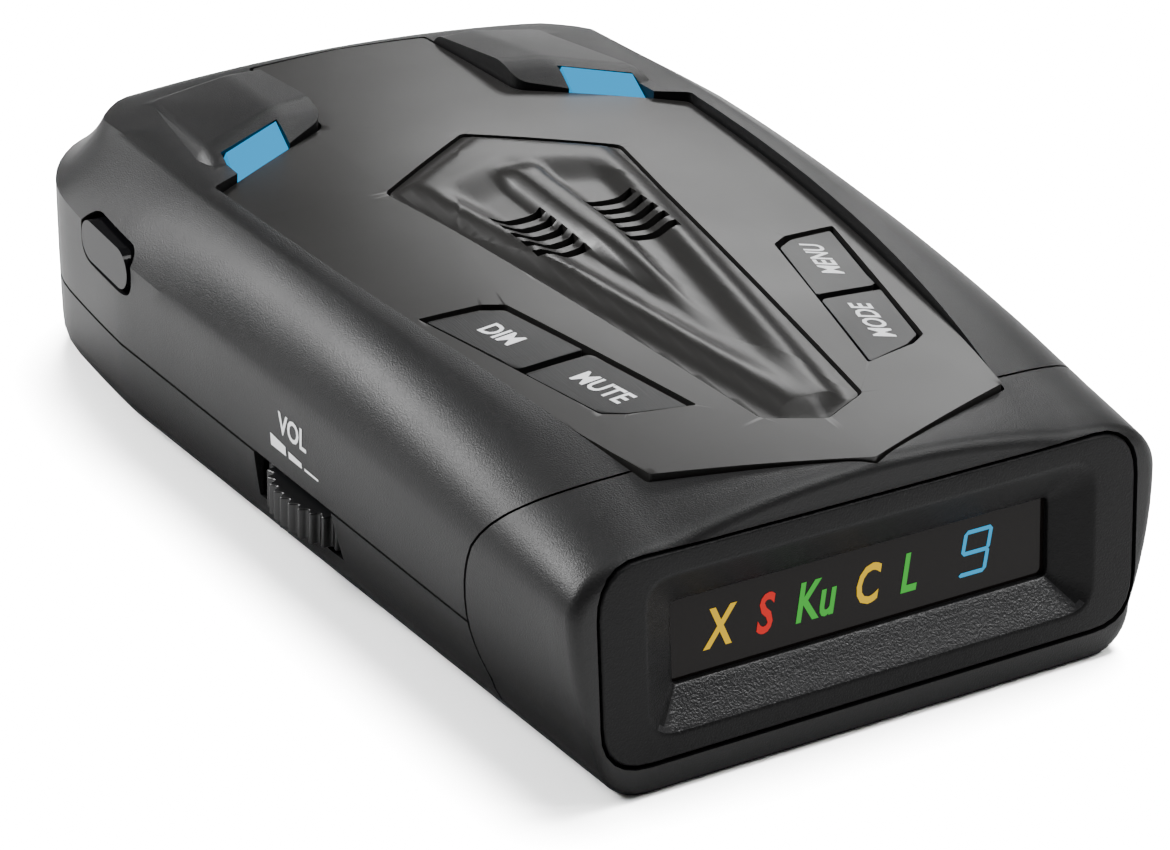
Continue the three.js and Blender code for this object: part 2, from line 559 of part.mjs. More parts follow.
function speaker() {
  const top = CASE_HEIGHT - wellFloorDrop - 0.7;
  const { radius, height, magnet, magnetHeight } = SPEAKER;
  const ring = (points) => {
    const profile = points.map(([r, z]) => new THREE.Vector2(r, z));
    profile.push(profile[0].clone());
    return toSolid(new THREE.LatheGeometry(profile, 28).rotateX(Math.PI / 2).translate(0, SPEAKER_Y, 0));
  };
  const base = top - height;
  addPiece('speaker_frame', ring([[radius, top], [radius - 2.4, top], [magnet - 0.6, base + 0.8], [3, base + 0.8],
    [3, base], [magnet, base], [radius, top - 0.9]]), 0x30343a, 0.5, 0.4);
  addPiece('speaker_cone', ring([[radius - 2.9, top + 0.1], [radius - 3.5, top + 0.1], [1.2, base + 1.9], [0.2, base + 2.2],
    [0.2, base + 1.5], [1.4, base + 1.2], [radius - 5.2, top - 1.2]]), 0x202020, 0.8);
  const magnetTop = base - GAP;
  addPiece('speaker_magnet', rod(magnet, 0, SPEAKER_Y, magnetTop - magnetHeight, magnetTop, 24), 0x3a3c40, 0.5, 0.6);
  const cloth = rod(9.6, 0, SPEAKER_Y, top + 0.9, top + 1.2, 24);
  addPiece('speaker_cloth', cloth, 0x141414, 0.95);
  for (const [name, x] of [['speaker_lead_plus', 3], ['speaker_lead_minus', -3]]) {
    const route = new THREE.CatmullRomCurve3([
      new THREE.Vector3(x, SPEAKER_Y + magnet + 1.4, base - 0.4),
      new THREE.Vector3(x * 1.4, SPEAKER_Y + magnet + 4.2, base - 1.6),
      new THREE.Vector3(x * 1.9, SPEAKER_Y + magnet + 5, BOARD_TOP + 2.6),
      new THREE.Vector3(x * 2.1, SPEAKER_Y + magnet + 5, BOARD_TOP + 0.5),
    ]);
    const wire = new THREE.Shape().absarc(0, 0, 0.45, 0, Math.PI * 2);
    const options = { extrudePath: route, steps: 12, curveSegments: 4, bevelEnabled: false };
    addPiece(name, toSolid(new THREE.ExtrudeGeometry(wire, options)), x > 0 ? 0xa02020 : 0x151515, 0.6);
  }
}

function volumeWheel() {
  const [x, y] = wheelCentre();
  const shape = new THREE.Shape();
  for (let rib = 0; rib < WHEEL.ribs; rib += 1) {
    const pitch = (Math.PI * 2) / WHEEL.ribs;
    for (const [share, depth] of [[0, 0], [0.42, 0], [0.56, 0.5], [0.86, 0.5]]) {
      const radius = WHEEL.radius - depth;
      const angle = (rib + share) * pitch;
      const point = [Math.cos(angle) * radius, Math.sin(angle) * radius];
      if (rib === 0 && share === 0) shape.moveTo(...point);
      else shape.lineTo(...point);
    }
  }
  const disc = prism(shape, WHEEL.z, WHEEL.z + WHEEL.thickness).translate([x, y, 0]);
  return disc.subtract(rod(WHEEL.bore, x, y, 0, 20, 16));
}

function volumePot() {
  const [x, y] = wheelCentre();
  const top = BOARD_Z - GAP;
  const body = rod(4.6, x, y, WHEEL.z + WHEEL.thickness + GAP, top, 20);
  return body.add(rod(WHEEL.bore - GAP, x, y, WHEEL.z + 0.4, top, 16));
}

// ---- top trim --------------------------------------------------------------------------------

const buttons = [
  { name: 'dim', x: -16.3, y: -17.2, side: -1, front: true },
  { name: 'mute', x: -13.4, y: -28.6, side: -1, front: false },
  { name: 'menu', x: 16.3, y: -17.2, side: 1, front: true },
  { name: 'mode', x: 13.4, y: -28.6, side: 1, front: false },
];

function buttonPieces() {
  const bodyLow = BOARD_TOP + GAP;
  const bodyHigh = bodyLow + SWITCH.height;
  const gap = 0.5;
  for (const { name, x, y, side, front } of buttons) {
    const from = front ? CAP_SPLIT : POCKET.rear;
    const to = front ? POCKET.front : CAP_SPLIT;
    const cap = prism(pocketOutline(side, from, to, gap), CASE_HEIGHT - 6, CASE_HEIGHT + 3)
      .intersect(underCrown(0.25)).subtract(underCrown(PLATE_THICKNESS + GAP - SWITCH.travel - 0.35));
    const plunger = rod(SWITCH.actuator, x, y, bodyHigh + 2 * GAP, CASE_HEIGHT - 1.6, 16)
      .intersect(underCrown(0.6));
    addPiece(`button_${name}`, cap.add(plunger), 0x1b1c1e, 0.45);
    const body = box(SWITCH.width, SWITCH.width, SWITCH.height, x, y, bodyLow);
    const bore = rod(SWITCH.actuator + GAP, x, y, bodyHigh - 1.6, bodyHigh + 1, 16);
    addPiece(`switch_${name}`, body.subtract(bore), 0x2b2d31, 0.5);
    addPiece(`actuator_${name}`, rod(SWITCH.actuator, x, y, bodyHigh - 0.9, bodyHigh + GAP, 16), 0x8a3a28, 0.5);
  }
}

function topPlate() {
  let solid = prism(plateOutline(0), CASE_HEIGHT - 8, CASE_HEIGHT + 3).intersect(underCrown(0));
  solid = solid.subtract(underCrown(PLATE_THICKNESS));
  solid = solid.subtract(prism(cowlOutline(GAP), 10, 40));
  for (const side of [-1, 1]) {
    solid = solid.subtract(prism(pocketOutline(side, POCKET.rear, POCKET.front, 0), 10, 40));
  }
  return solid;
}

function speakerCowl() {
  let solid = prism(cowlOutline(0), CASE_HEIGHT - 8, CASE_HEIGHT - 0.6).intersect(underCrown(0.4));
  const raised = prism(cowlOutline(-0.7), CASE_HEIGHT - 8, CASE_HEIGHT + 4).intersect(underCrown(-COWL_RISE));
  solid = solid.add(raised).subtract(underCrown(PLATE_THICKNESS));
  const rise = CASE_HEIGHT + RIDGE_RISE;
  const ring = (y, w, top) => [[-w, CASE_HEIGHT - 1], [w, CASE_HEIGHT - 1], [w * 0.55, top], [-w * 0.55, top]]
    .map(([x, z]) => new THREE.Vector3(x, y, z));
  solid = solid.add(loft([ring(SPEAKER_Y - 22, 0.7, rise - 0.9), ring(SPEAKER_Y - 8, 2.2, rise - 0.1),
    ring(SPEAKER_Y + 8, 3.4, rise), ring(WIDEST - 8, 2.4, rise - 0.6)]));
  // Sound slots, a row on each side of the ridge.
  for (let slot = 0; slot < LOUVRES; slot += 1) {
    const y = SPEAKER_Y + (slot - (LOUVRES - 1) / 2) * LOUVRE_PITCH;
    for (const side of [-1, 1]) {
      const x = side * (1.9 + LOUVRE_LENGTH / 2);
      solid = solid.subtract(box(LOUVRE_LENGTH, LOUVRE_WIDTH, 20, x, y, 12));
    }
  }
  return solid;
}

// ---- front and side ----------------------------------------------------------------------------

function laserWindow(grow, depth) {
  return box(8 + 2 * grow, 12, 5.6 + 2 * grow, 18.5, FRONT - 6 + 1 - depth, 12.2 - grow);
}

function laserPieces() {
  const pane = laserWindow(0, 0).intersect(outerForm).subtract(box(20, 20, 20, 18.5, FRONT - 1.9 - 10, 5));
  addPiece('laser_lens', pane, 0x2a0a10, 0.08);
  addPiece('laser_sensor', box(6, 4, 5, 18.5, FRONT - WALL - 3.6, BOARD_TOP + GAP), 0x202024, 0.4);
}

const springStart = () => -(CASE_WIDTH / 2) + WALL + RELEASE_SETBACK + FLANGE + GAP;

function releaseButton() {
  const pill = roundedRect(RELEASE.length, RELEASE.height, 2.1, RELEASE.y, RELEASE.z);
  const face = -CASE_WIDTH / 2;
  const flange = roundedRect(RELEASE.length + 2.4, RELEASE.height + 0.2, 1.4, RELEASE.y, RELEASE.z - 1.3);
  const flangeAt = -(CASE_WIDTH / 2) + WALL + RELEASE_SETBACK;
  return crossPrism(pill, face, flangeAt + 0.4, 5).add(crossPrism(flange, flangeAt, flangeAt + FLANGE, 4));
}

function releaseSpring() {
  const start = springStart();
  const steps = SPRING.turns * 8;
  const points = [];
  for (let step = 0; step <= steps; step += 1) {
    const angle = (step / 8) * Math.PI * 2;
    const x = start + SPRING.wire + (SPRING.length - 2 * SPRING.wire) * (step / steps);
    const y = RELEASE.y + Math.cos(angle) * SPRING.radius;
    points.push(new THREE.Vector3(x, y, RELEASE.z + Math.sin(angle) * SPRING.radius));
  }
  const wire = new THREE.Shape().absarc(0, 0, SPRING.wire, 0, Math.PI * 2);
  const extrudePath = new THREE.CatmullRomCurve3(points);
  const shape = { extrudePath, steps, curveSegments: 3, bevelEnabled: false };
  return toSolid(new THREE.ExtrudeGeometry(wire, shape));
}

function screw(x, y, headLow, headHeight, tip) {
  const head = rod(SCREW.head, x, y, headLow, headLow + headHeight, 16);
  const drive = box(0.7, 2.6, 0.6, x, y, headLow - 0.01).add(box(2.6, 0.7, 0.6, x, y, headLow - 0.01));
  return head.add(rod(SCREW.shank, x, y, headLow, tip, 12)).subtract(drive);
}

// ---- assembly ----------------------------------------------------------------------------------

addPiece('lower_housing', lowerHousing(), BLACK, 0.6);
addPiece('upper_housing', upperHousing(), BLACK, 0.6);
addPiece('display_collar', collar(), BLACK, 0.6);
addPiece('top_plate', topPlate(), 0x222325, 0.35);
addPiece('speaker_cowl', speakerCowl(), 0x26272a, 0.35);
addPiece('display_bezel', bezel(), BLACK, 0.55);
displayPieces();
addPiece('main_board', mainBoard(), BOARD_GREEN, 0.55);
addPiece('horn_antenna', hornAntenna(), STEEL, 0.4, 0.8);
addPiece('shield_can', shieldCan(), STEEL, 0.3, 0.9);
speaker();
addPiece('volume_wheel', volumeWheel(), GLOSS_BLACK, 0.3);
addPiece('volume_pot', volumePot(), 0x35383c, 0.5);
addPiece('power_jack', powerJack(), GLOSS_BLACK, 0.4);
buttonPieces();
laserPieces();
for (const [name, side] of [['left', -1], ['right', 1]]) {
  const [x, y] = pipeSpot(side);
  const pipe = rod(PIPE_RADIUS, x, y, BOARD_TOP + 2.2, CASE_HEIGHT - 2.6, 12)
    .subtract(lensBlock(side, 0, -9, 1));
  addPiece(`alert_lens_${name}`, lensBlock(side, 0, 0, 1.9).add(pipe), 0x16a8e8, 0.2);
  addPiece(`alert_led_${name}`, box(3.2, 2.8, 1.6, x, y, BOARD_TOP + GAP), 0xe8e4c8, 0.4);
}
addPiece('processor_chip', box(9, 9, 1.6, 0, -24, BOARD_TOP + GAP), 0x141518, 0.4);
addPiece('audio_chip', box(5, 4, 1.4, -6, -34, BOARD_TOP + GAP), 0x141518, 0.4);
for (const [index, y] of [6, 12].entries()) {
  const can = rod(2.6, 22, y - 7, BOARD_TOP + GAP, BOARD_TOP + 6, 18);
  addPiece(`filter_capacitor_${index + 1}`, can, 0x2a3550, 0.35);
}
addPiece('release_button', releaseButton(), 0x0a0b0c, 0.15);
addPiece('release_spring', releaseSpring(), 0xb0b4b8, 0.3, 0.9);
CASE_SCREWS.forEach(([x, y], index) => {
  addPiece(`case_screw_${index + 1}`, screw(x, y, SCREW.sink, SCREW.headHeight, SCREW.tip), STEEL, 0.35, 0.9);
});
BOARD_SCREWS.forEach(([x, y], index) => {
  addPiece(`board_screw_${index + 1}`, screw(x, y, BOARD_Z - GAP - 1, 1, SCREW.tip), STEEL, 0.35, 0.9);
});

export default detector;
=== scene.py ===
import math
import bmesh
import bpy
from mathutils import Matrix, Vector


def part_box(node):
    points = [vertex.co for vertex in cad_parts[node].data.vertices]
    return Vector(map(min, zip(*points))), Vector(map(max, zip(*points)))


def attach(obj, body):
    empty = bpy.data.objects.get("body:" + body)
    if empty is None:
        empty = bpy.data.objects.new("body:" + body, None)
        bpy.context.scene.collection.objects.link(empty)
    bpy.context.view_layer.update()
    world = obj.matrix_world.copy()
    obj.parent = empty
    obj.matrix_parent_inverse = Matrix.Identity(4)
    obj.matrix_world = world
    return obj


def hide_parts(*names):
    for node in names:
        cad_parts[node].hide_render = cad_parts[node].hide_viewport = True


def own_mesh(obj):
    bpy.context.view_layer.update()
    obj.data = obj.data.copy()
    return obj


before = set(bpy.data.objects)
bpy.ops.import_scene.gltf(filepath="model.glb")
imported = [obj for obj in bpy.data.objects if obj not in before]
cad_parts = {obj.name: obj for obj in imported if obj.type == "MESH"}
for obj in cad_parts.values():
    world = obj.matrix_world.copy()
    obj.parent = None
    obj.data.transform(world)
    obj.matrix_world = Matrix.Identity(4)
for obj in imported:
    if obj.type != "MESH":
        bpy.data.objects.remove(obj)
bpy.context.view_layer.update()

# ---- camera ---------------------------------------------------------------------------------
# The detector is seen from behind and above its left shoulder, as it stands on a bench,
# with a longish lens turned slightly about its own axis.
bpy.context.scene.unit_settings.system = "METRIC"
VIEW_TURN = math.radians(-32.49)
VIEW_RISE = math.radians(29.70)
VIEW_ROLL = math.radians(2.91)
VIEW_FROM = (-0.1562, -0.2544, 0.1656)
toward = Vector((
    math.sin(VIEW_TURN) * math.cos(VIEW_RISE),
    -math.cos(VIEW_TURN) * math.cos(VIEW_RISE),
    math.sin(VIEW_RISE),
))
level = (-toward).cross(Vector((0, 0, 1))).normalized()
upright = level.cross(-toward)
right = math.cos(VIEW_ROLL) * level + math.sin(VIEW_ROLL) * upright
up = -math.sin(VIEW_ROLL) * level + math.cos(VIEW_ROLL) * upright
camera_data = bpy.data.cameras.new("bench_camera")
camera = bpy.data.objects.new("bench_camera", camera_data)
bpy.context.collection.objects.link(camera)
camera.matrix_world = Matrix((
    (right.x, up.x, toward.x, VIEW_FROM[0]),
    (right.y, up.y, toward.y, VIEW_FROM[1]),
    (right.z, up.z, toward.z, VIEW_FROM[2]),
    (0, 0, 0, 1),
))
camera_data.sensor_width = 36
camera_data.lens = 107.2
camera_data.shift_x = -0.0227
camera_data.shift_y = 0.0625
camera_data.clip_start = 0.01
bpy.context.scene.camera = camera

# ---- bench and light ------------------------------------------------------------------------
# A pale bench and room, which look white to the camera but light the object only dimly, and five
# softboxes: a long strip for the bright line along the shoulder, a panel for the top, two for the
# display end and a weak one overhead. The bench lamp lights the bench alone.
BENCH_TO_OBJECT = 0.075
BENCH_TO_CAMERA = 0.94
ROOM_TO_OBJECT = 0.12
ROOM_TO_CAMERA = 9.0
# A mix node's colour sockets share their names with its other kinds, so they go by number.
MIX_COLOUR_A = 6
MIX_COLOUR_B = 7
MIX_COLOUR_RESULT = 2
bench_mesh = bpy.data.meshes.new("bench_top")
bench_form = bmesh.new()
bmesh.ops.create_grid(bench_form, x_segments=1, y_segments=1, size=3)
bench_form.to_mesh(bench_mesh)
bench_form.free()
bench = bpy.data.objects.new("bench_top", bench_mesh)
bpy.context.collection.objects.link(bench)
bench_white = bpy.data.materials.new("bench_white")
bench_white.use_nodes = True
bench_nodes = bench_white.node_tree.nodes
bench_nodes["Principled BSDF"].inputs["Roughness"].default_value = 0.8
bench_nodes["Principled BSDF"].inputs["Specular IOR Level"].default_value = 0.0
bench_seen = bench_nodes.new("ShaderNodeLightPath")
bench_tone = bench_nodes.new("ShaderNodeMix")
bench_tone.data_type = "RGBA"
bench_tone.inputs[MIX_COLOUR_A].default_value = (BENCH_TO_OBJECT, BENCH_TO_OBJECT, BENCH_TO_OBJECT, 1)
bench_tone.inputs[MIX_COLOUR_B].default_value = (BENCH_TO_CAMERA, BENCH_TO_CAMERA, BENCH_TO_CAMERA, 1)
bench_links = bench_white.node_tree.links
bench_links.new(bench_seen.outputs["Is Camera Ray"], bench_tone.inputs[0])
bench_links.new(bench_tone.outputs[MIX_COLOUR_RESULT], bench_nodes["Principled BSDF"].inputs["Base Color"])
bench_mesh.materials.append(bench_white)

room = bpy.data.worlds.new("studio_room")
room.use_nodes = True
room_nodes = room.node_tree.nodes
room_nodes["Background"].inputs["Color"].default_value = (1, 0.99, 0.975, 1)
seen = room_nodes.new("ShaderNodeLightPath")
level_of = room_nodes.new("ShaderNodeMapRange")
level_of.inputs["To Min"].default_value = ROOM_TO_OBJECT
level_of.inputs["To Max"].default_value = ROOM_TO_CAMERA
room.node_tree.links.new(seen.outputs["Is Camera Ray"], level_of.inputs["Value"])
room.node_tree.links.new(level_of.outputs["Result"], room_nodes["Background"].inputs["Strength"])
bpy.context.scene.world = room


def softbox(name, place, aim, width, height, watts):
    data = bpy.data.lights.new(name, "AREA")
    data.shape = "RECTANGLE"
    data.size = width
    data.size_y = height
    data.energy = watts
    lamp = bpy.data.objects.new(name, data)
    bpy.context.collection.objects.link(lamp)
    lamp.location = place
    lamp.rotation_euler = (Vector(aim) - Vector(place)).to_track_quat("-Z", "Y").to_euler()
    return lamp


softbox("shoulder_strip", (-0.46, 0.42, 0.50), (-0.03, -0.02, 0.02), 0.50, 0.07, 11.0)
softbox("top_panel", (0.66, 0.78, 0.50), (0.01, 0.02, 0.02), 0.50, 0.22, 3.0)
softbox("collar_box", (0.42, 0.16, 0.74), (0, -0.05, 0.02), 0.20, 0.30, 1.8)
softbox("rear_strip", (0.50, -0.34, 0.72), (0, -0.05, 0.02), 0.12, 0.50, 6.0)
softbox("overhead_box", (-0.10, 0.05, 1.10), (0, 0, 0), 0.6, 0.6, 2.0)
bench_lamp = softbox("bench_lamp", (0.55, 0.45, 1.60), (0, 0, 0), 0.9, 0.9, 900.0)
lit = bpy.data.collections.new("bench_only")
lit.objects.link(bench)
bench_lamp.light_linking.receiver_collection = lit

# ---- case shells ----------------------------------------------------------------------------
# Three black ABS mouldings with a fine spark texture: a lower half, an upper half with two brows
# at the front, and a collar that wraps the display end. Seams are fine open lines.
LENGTH = 108.0
WIDTH = 72.6
HEIGHT = 25.7
REAR = -LENGTH / 2
FRONT = LENGTH / 2
FRONT_REACH = 30
FRONT_TAPER = 2.0
WIDEST = FRONT - FRONT_REACH
REAR_HALF = 30.2
FRONT_CORNER = 17.0
FRONT_EDGE = 5.0
BASE_CORNER = 4.2
REAR_EDGE = 1.1
REAR_TILT = math.radians(8.5)
WALL = 2.0
SEAM_Z = 9.2
SEAM = 0.3
PLATE_THICKNESS = 1.8
WELL_DROP = PLATE_THICKNESS + SEAM
PLATE_SHOULDER = 10.6


def blend(a, b, t):
    return a + (b - a) * t


def soft_step(low, high, value):
    t = min(1, max(0, (value - low) / (high - low)))
    return t * t * (3 - 2 * t)


def crown_height(y):
    return HEIGHT - (0.0004 if y < 0 else 0.00065) * y * y


def skin_height(x, y):
    return crown_height(y) - 0.002 * x * x


def lip_height(y):
    ahead = y + 10
    return HEIGHT - (0.0018 if ahead < 0 else 0.0008) * ahead * ahead


def plate_edge(y):
    t = min(1, max(0, (y - (REAR + PLATE_SHOULDER)) / (WIDEST - 3.1 - REAR - PLATE_SHOULDER)))
    return blend(18.2, 26.5, t) + 6.2 * t * (1 - t)


def half_width(y):
    if y < WIDEST:
        return blend(REAR_HALF, WIDTH / 2, (y - REAR) / (WIDEST - REAR))
    taper = FRONT_TAPER * ((y - WIDEST) / FRONT_REACH) ** 2
    into = max(0, y - (FRONT - FRONT_CORNER))
    return WIDTH / 2 - taper - FRONT_CORNER + math.sqrt(max(0, FRONT_CORNER ** 2 - into ** 2))


def half_section(y, inset, drop):
    ahead = min(1.2, max(0, (y - REAR) / (WIDEST - REAR)))
    edge = max(0, y - (FRONT - FRONT_EDGE))
    rounding = FRONT_EDGE - math.sqrt(max(0, FRONT_EDGE ** 2 - edge ** 2))
    wide = half_width(y) - inset
    foot = wide - blend(2.4, 0.6, ahead)
    low = inset + rounding * 0.8
    shoulder = HEIGHT - blend(8.5, 7.0, ahead) - inset * 0.4 - rounding * 0.6
    lip = min(plate_edge(y) + 2.0, wide - 5) - inset * 0.3
    top = lip_height(y) - inset - drop - rounding
    crown = max(top + 0.3, crown_height(y) - inset - drop - rounding)
    corner = BASE_CORNER - inset * 0.6
    points = [(foot - corner * (1 - math.sin(a)), low + corner * (1 - math.cos(a)))
              for a in (math.pi / 2 * k / 8 for k in range(9))]
    for k in range(1, 7):
        t = k / 7
        points.append((blend(foot, wide, 1 - (1 - t) ** 2), blend(low + corner, shoulder, t)))
    for k in range(15):
        t = k / 14
        x = (1 - t) ** 2 * wide + 2 * t * (1 - t) * (wide - blend(0.5, 3.0, ahead)) + t * t * lip
        z = (1 - t) ** 2 * shoulder + 2 * t * (1 - t) * (top - blend(0.3, 2.2, ahead)) + t * t * top
        points.append((x, z))
    for k in range(1, 8):
        t = k / 8
        points.append((lip * (1 - t), blend(crown, top, (1 - t) ** 2)))
    points.append((0, crown))
    return points


def ring_points(y, inset, drop, tilt):
    half = half_section(y, inset, drop)
    slope = math.tan(REAR_TILT) * tilt
    whole = half + [(-x, z) for x, z in reversed(half[:-1])]
    return [Vector((x, y + slope * (z - REAR_EDGE), z)) for x, z in whole]


def case_stations(rear_gap, front_gap):
    """Where the form's rings stand: each one's y, how far its rounded edge draws in, and its tilt."""
    stations = []
    start = REAR + rear_gap
    if rear_gap == 0:
        for k in range(5):
            angle = math.pi / 2 * k / 4
            stations.append((start + REAR_EDGE * (1 - math.cos(angle)), REAR_EDGE * (1 - math.sin(angle)), 1))
        start = start + REAR_EDGE
    steps = 34
    for k in range(1 if rear_gap == 0 else 0, steps + 1):
        y = blend(start, WIDEST, k / steps)
        stations.append((y, 0, min(1, max(0, 1 - (y - start) / 22))))
    corner_start = FRONT - FRONT_CORNER
    for k in range(1, 9):
        stations.append((blend(WIDEST, corner_start, k / 8), 0, 0))
    for k in range(1, 15):
        y = corner_start + FRONT_CORNER * math.sin(math.pi / 2 * k / 14)
        if y < FRONT - front_gap - 0.05:
            stations.append((y, 0, 0))
    stations.append((FRONT - front_gap, 0, 0))
    return stations


def case_form(inset, drop, rear_gap, front_gap):
    """The whole outer form, drawn in by inset, as a ring of points carried from the rear to the front."""
    form = bmesh.new()
    stations = case_stations(rear_gap, front_gap)
    first = ring_points(stations[0][0], inset + stations[0][1], drop, stations[0][2])
    ring = bmesh.ops.create_circle(form, segments=len(first), radius=1)["verts"]
    ring = sorted(ring, key=lambda v: math.atan2(v.co.y, v.co.x) % (2 * math.pi))
    for vert, place in zip(ring, first):
        vert.co = place
    bmesh.ops.contextual_create(form, geom=ring)
    edges = [e for e in form.edges]
    for y, extra, tilt in stations[1:]:
        grown = bmesh.ops.extrude_edge_only(form, edges=edges)["geom"]
        edges = [g for g in grown if isinstance(g, bmesh.types.BMEdge)]
        new_verts = {g for g in grown if isinstance(g, bmesh.types.BMVert)}
        after = {}
        for edge in form.edges:
            a, b = edge.verts
            if a in new_verts and b not in new_verts:
                after[b] = a
            elif b in new_verts and a not in new_verts:
                after[a] = b
        ring = [after[v] for v in ring]
        for vert, place in zip(ring, ring_points(y, inset + extra, drop, tilt)):
            vert.co = place
        edges = [e for e in edges if e.verts[0] in new_verts and e.verts[1] in new_verts]
    bmesh.ops.contextual_create(form, geom=ring)
    bmesh.ops.recalc_face_normals(form, faces=form.faces)
    return form


def to_object(form, name):
    mesh = bpy.data.meshes.new(name)
    form.to_mesh(mesh)
    form.free()
    body = bpy.data.objects.new(name, mesh)
    bpy.context.collection.objects.link(body)
    return body


def carve(body, steps):
    """Applies a list of (operation, cutter) to body in order. The cutters stay for other pieces."""
    for operation, cutter in steps:
        change = body.modifiers.new("carve", "BOOLEAN")
        change.operation = operation
        change.solver = "EXACT"
        change.object = cutter
    depsgraph = bpy.context.evaluated_depsgraph_get()
    carved = bpy.data.meshes.new_from_object(body.evaluated_get(depsgraph))
    body.modifiers.clear()
    old = body.data
    body.data = carved
    bpy.data.meshes.remove(old)
    return body


def drop_objects(*bodies):
    for body in bodies:
        mesh = body.data
        bpy.data.objects.remove(body)
        bpy.data.meshes.remove(mesh)


def verts_of(geometry):
    return [g for g in geometry if isinstance(g, bmesh.types.BMVert)]


def block(size, place, name="block"):
    form = bmesh.new()
    bmesh.ops.create_cube(form, size=1)
    bmesh.ops.scale(form, vec=Vector(size), verts=form.verts)
    bmesh.ops.translate(form, vec=Vector(place), verts=form.verts)
    return to_object(form, name)


def outline_prism(points, low, high, name="prism", axis="Z"):
    """A straight-sided solid over an outline, standing along Z, or along X with (y, z) points."""
    form = bmesh.new()
    lift = (lambda p, h: Vector((p[0], p[1], h))) if axis == "Z" else (lambda p, h: Vector((h, p[0], p[1])))
    verts = [form.verts.new(lift(p, low)) for p in points]
    face = form.faces.new(verts)
    grown = bmesh.ops.extrude_face_region(form, geom=[face])["geom"]
    rise = lift((0, 0), high) - lift((0, 0), low)
    bmesh.ops.translate(form, vec=rise, verts=verts_of(grown))
    bmesh.ops.recalc_face_normals(form, faces=form.faces)
    return to_object(form, name)


def rounded_outline(points, radii, steps=5):
    """A closed outline whose corners are rounded by radii, one for each point."""
    result = []
    count = len(points)
    for k in range(count):
        here = Vector(points[k])
        before = Vector(points[k - 1]) - here
        after = Vector(points[(k + 1) % count]) - here
        radius = radii[k]
        if radius <= 0:
            result.append(tuple(here))
            continue
        angle = before.angle(after)
        reach = min(radius / math.tan(angle / 2), before.length * 0.45, after.length * 0.45)
        start = here + before.normalized() * reach
        end = here + after.normalized() * reach
        for j in range(steps + 1):
            t = j / steps
            result.append(tuple((1 - t) ** 2 * start + 2 * t * (1 - t) * here + t * t * end))
    return result


def rounded_box(width, height, corner, x=0.0, y=0.0):
    w, h = width / 2, height / 2
    return rounded_outline([(x - w, y - h), (x + w, y - h), (x + w, y + h), (x - w, y + h)], [corner] * 4, 6)


def plate_outline(grow):
    """The trim plate's shield, with its point at the rear and its tongue at the front."""
    side = [blend(REAR + PLATE_SHOULDER, WIDEST - 3.6, k / 14) for k in range(15)]
    half = [((plate_edge(y) + grow), y - (grow * 0.4 if k == 0 else 0), 0.5 if k == 0 else 0) for k,
            y in enumerate(side)]
    half.append((26.7 + grow, WIDEST - 2.2 + grow * 0.4, 2.2))
    half.append((10.9 + grow * 0.7, WIDEST + 6.2 + grow, 2.4))
    half.append((10.1 + grow, FRONT - 5.6 + grow, 0.6))
    points = [(0, REAR + 4 - grow, 0.8)] + half + [(0, FRONT - 5 + grow, 0)] + [(-x, y, r) for x, y,
                                                                                r in reversed(half)]
    return rounded_outline([(x, y) for x, y, r in points], [r for x, y, r in points])


def under_skin(drop, low=-5.0):
    """Everything below the crowned top skin lowered by drop."""
    form = bmesh.new()
    bmesh.ops.create_grid(form, x_segments=30, y_segments=46, size=0.5)
    bmesh.ops.scale(form, vec=Vector((WIDTH + 4, LENGTH + 8, 1)), verts=form.verts)
    grown = bmesh.ops.extrude_face_region(form, geom=form.faces[:])["geom"]
    top = {g for g in grown if isinstance(g, bmesh.types.BMVert)}
    for vert in form.verts:
        vert.co.z = skin_height(vert.co.x, vert.co.y) - drop if vert in top else low
    bmesh.ops.recalc_face_normals(form, faces=form.faces)
    return to_object(form, "under_skin")


def collar_region(shift):
    """The space behind the bowed joint between the case and the display collar."""
    y = REAR + 18.2 + shift
    points = [(REAR - 10, -5), (y - 8.5, -5)]
    for start, one, two, end in (((-8.5, -5), (-5.5, 1), (0, 4), (0, 10)),
                                 ((0, 10), (0, 17), (-2.2, 21.2), (-8.6, HEIGHT + 0.5))):
        for k in range(1, 13):
            t = k / 12
            w = ((1 - t) ** 3, 3 * t * (1 - t) ** 2, 3 * t * t * (1 - t), t ** 3)
            points.append((y + w[0] * start[0] + w[1] * one[0] + w[2] * two[0] + w[3] * end[0],
                           w[0] * start[1] + w[1] * one[1] + w[2] * two[1] + w[3] * end[1]))
    points += [(y - 10, HEIGHT + 6), (REAR - 10, HEIGHT + 6)]
    return outline_prism(points, -WIDTH, WIDTH, "collar_region", axis="X")


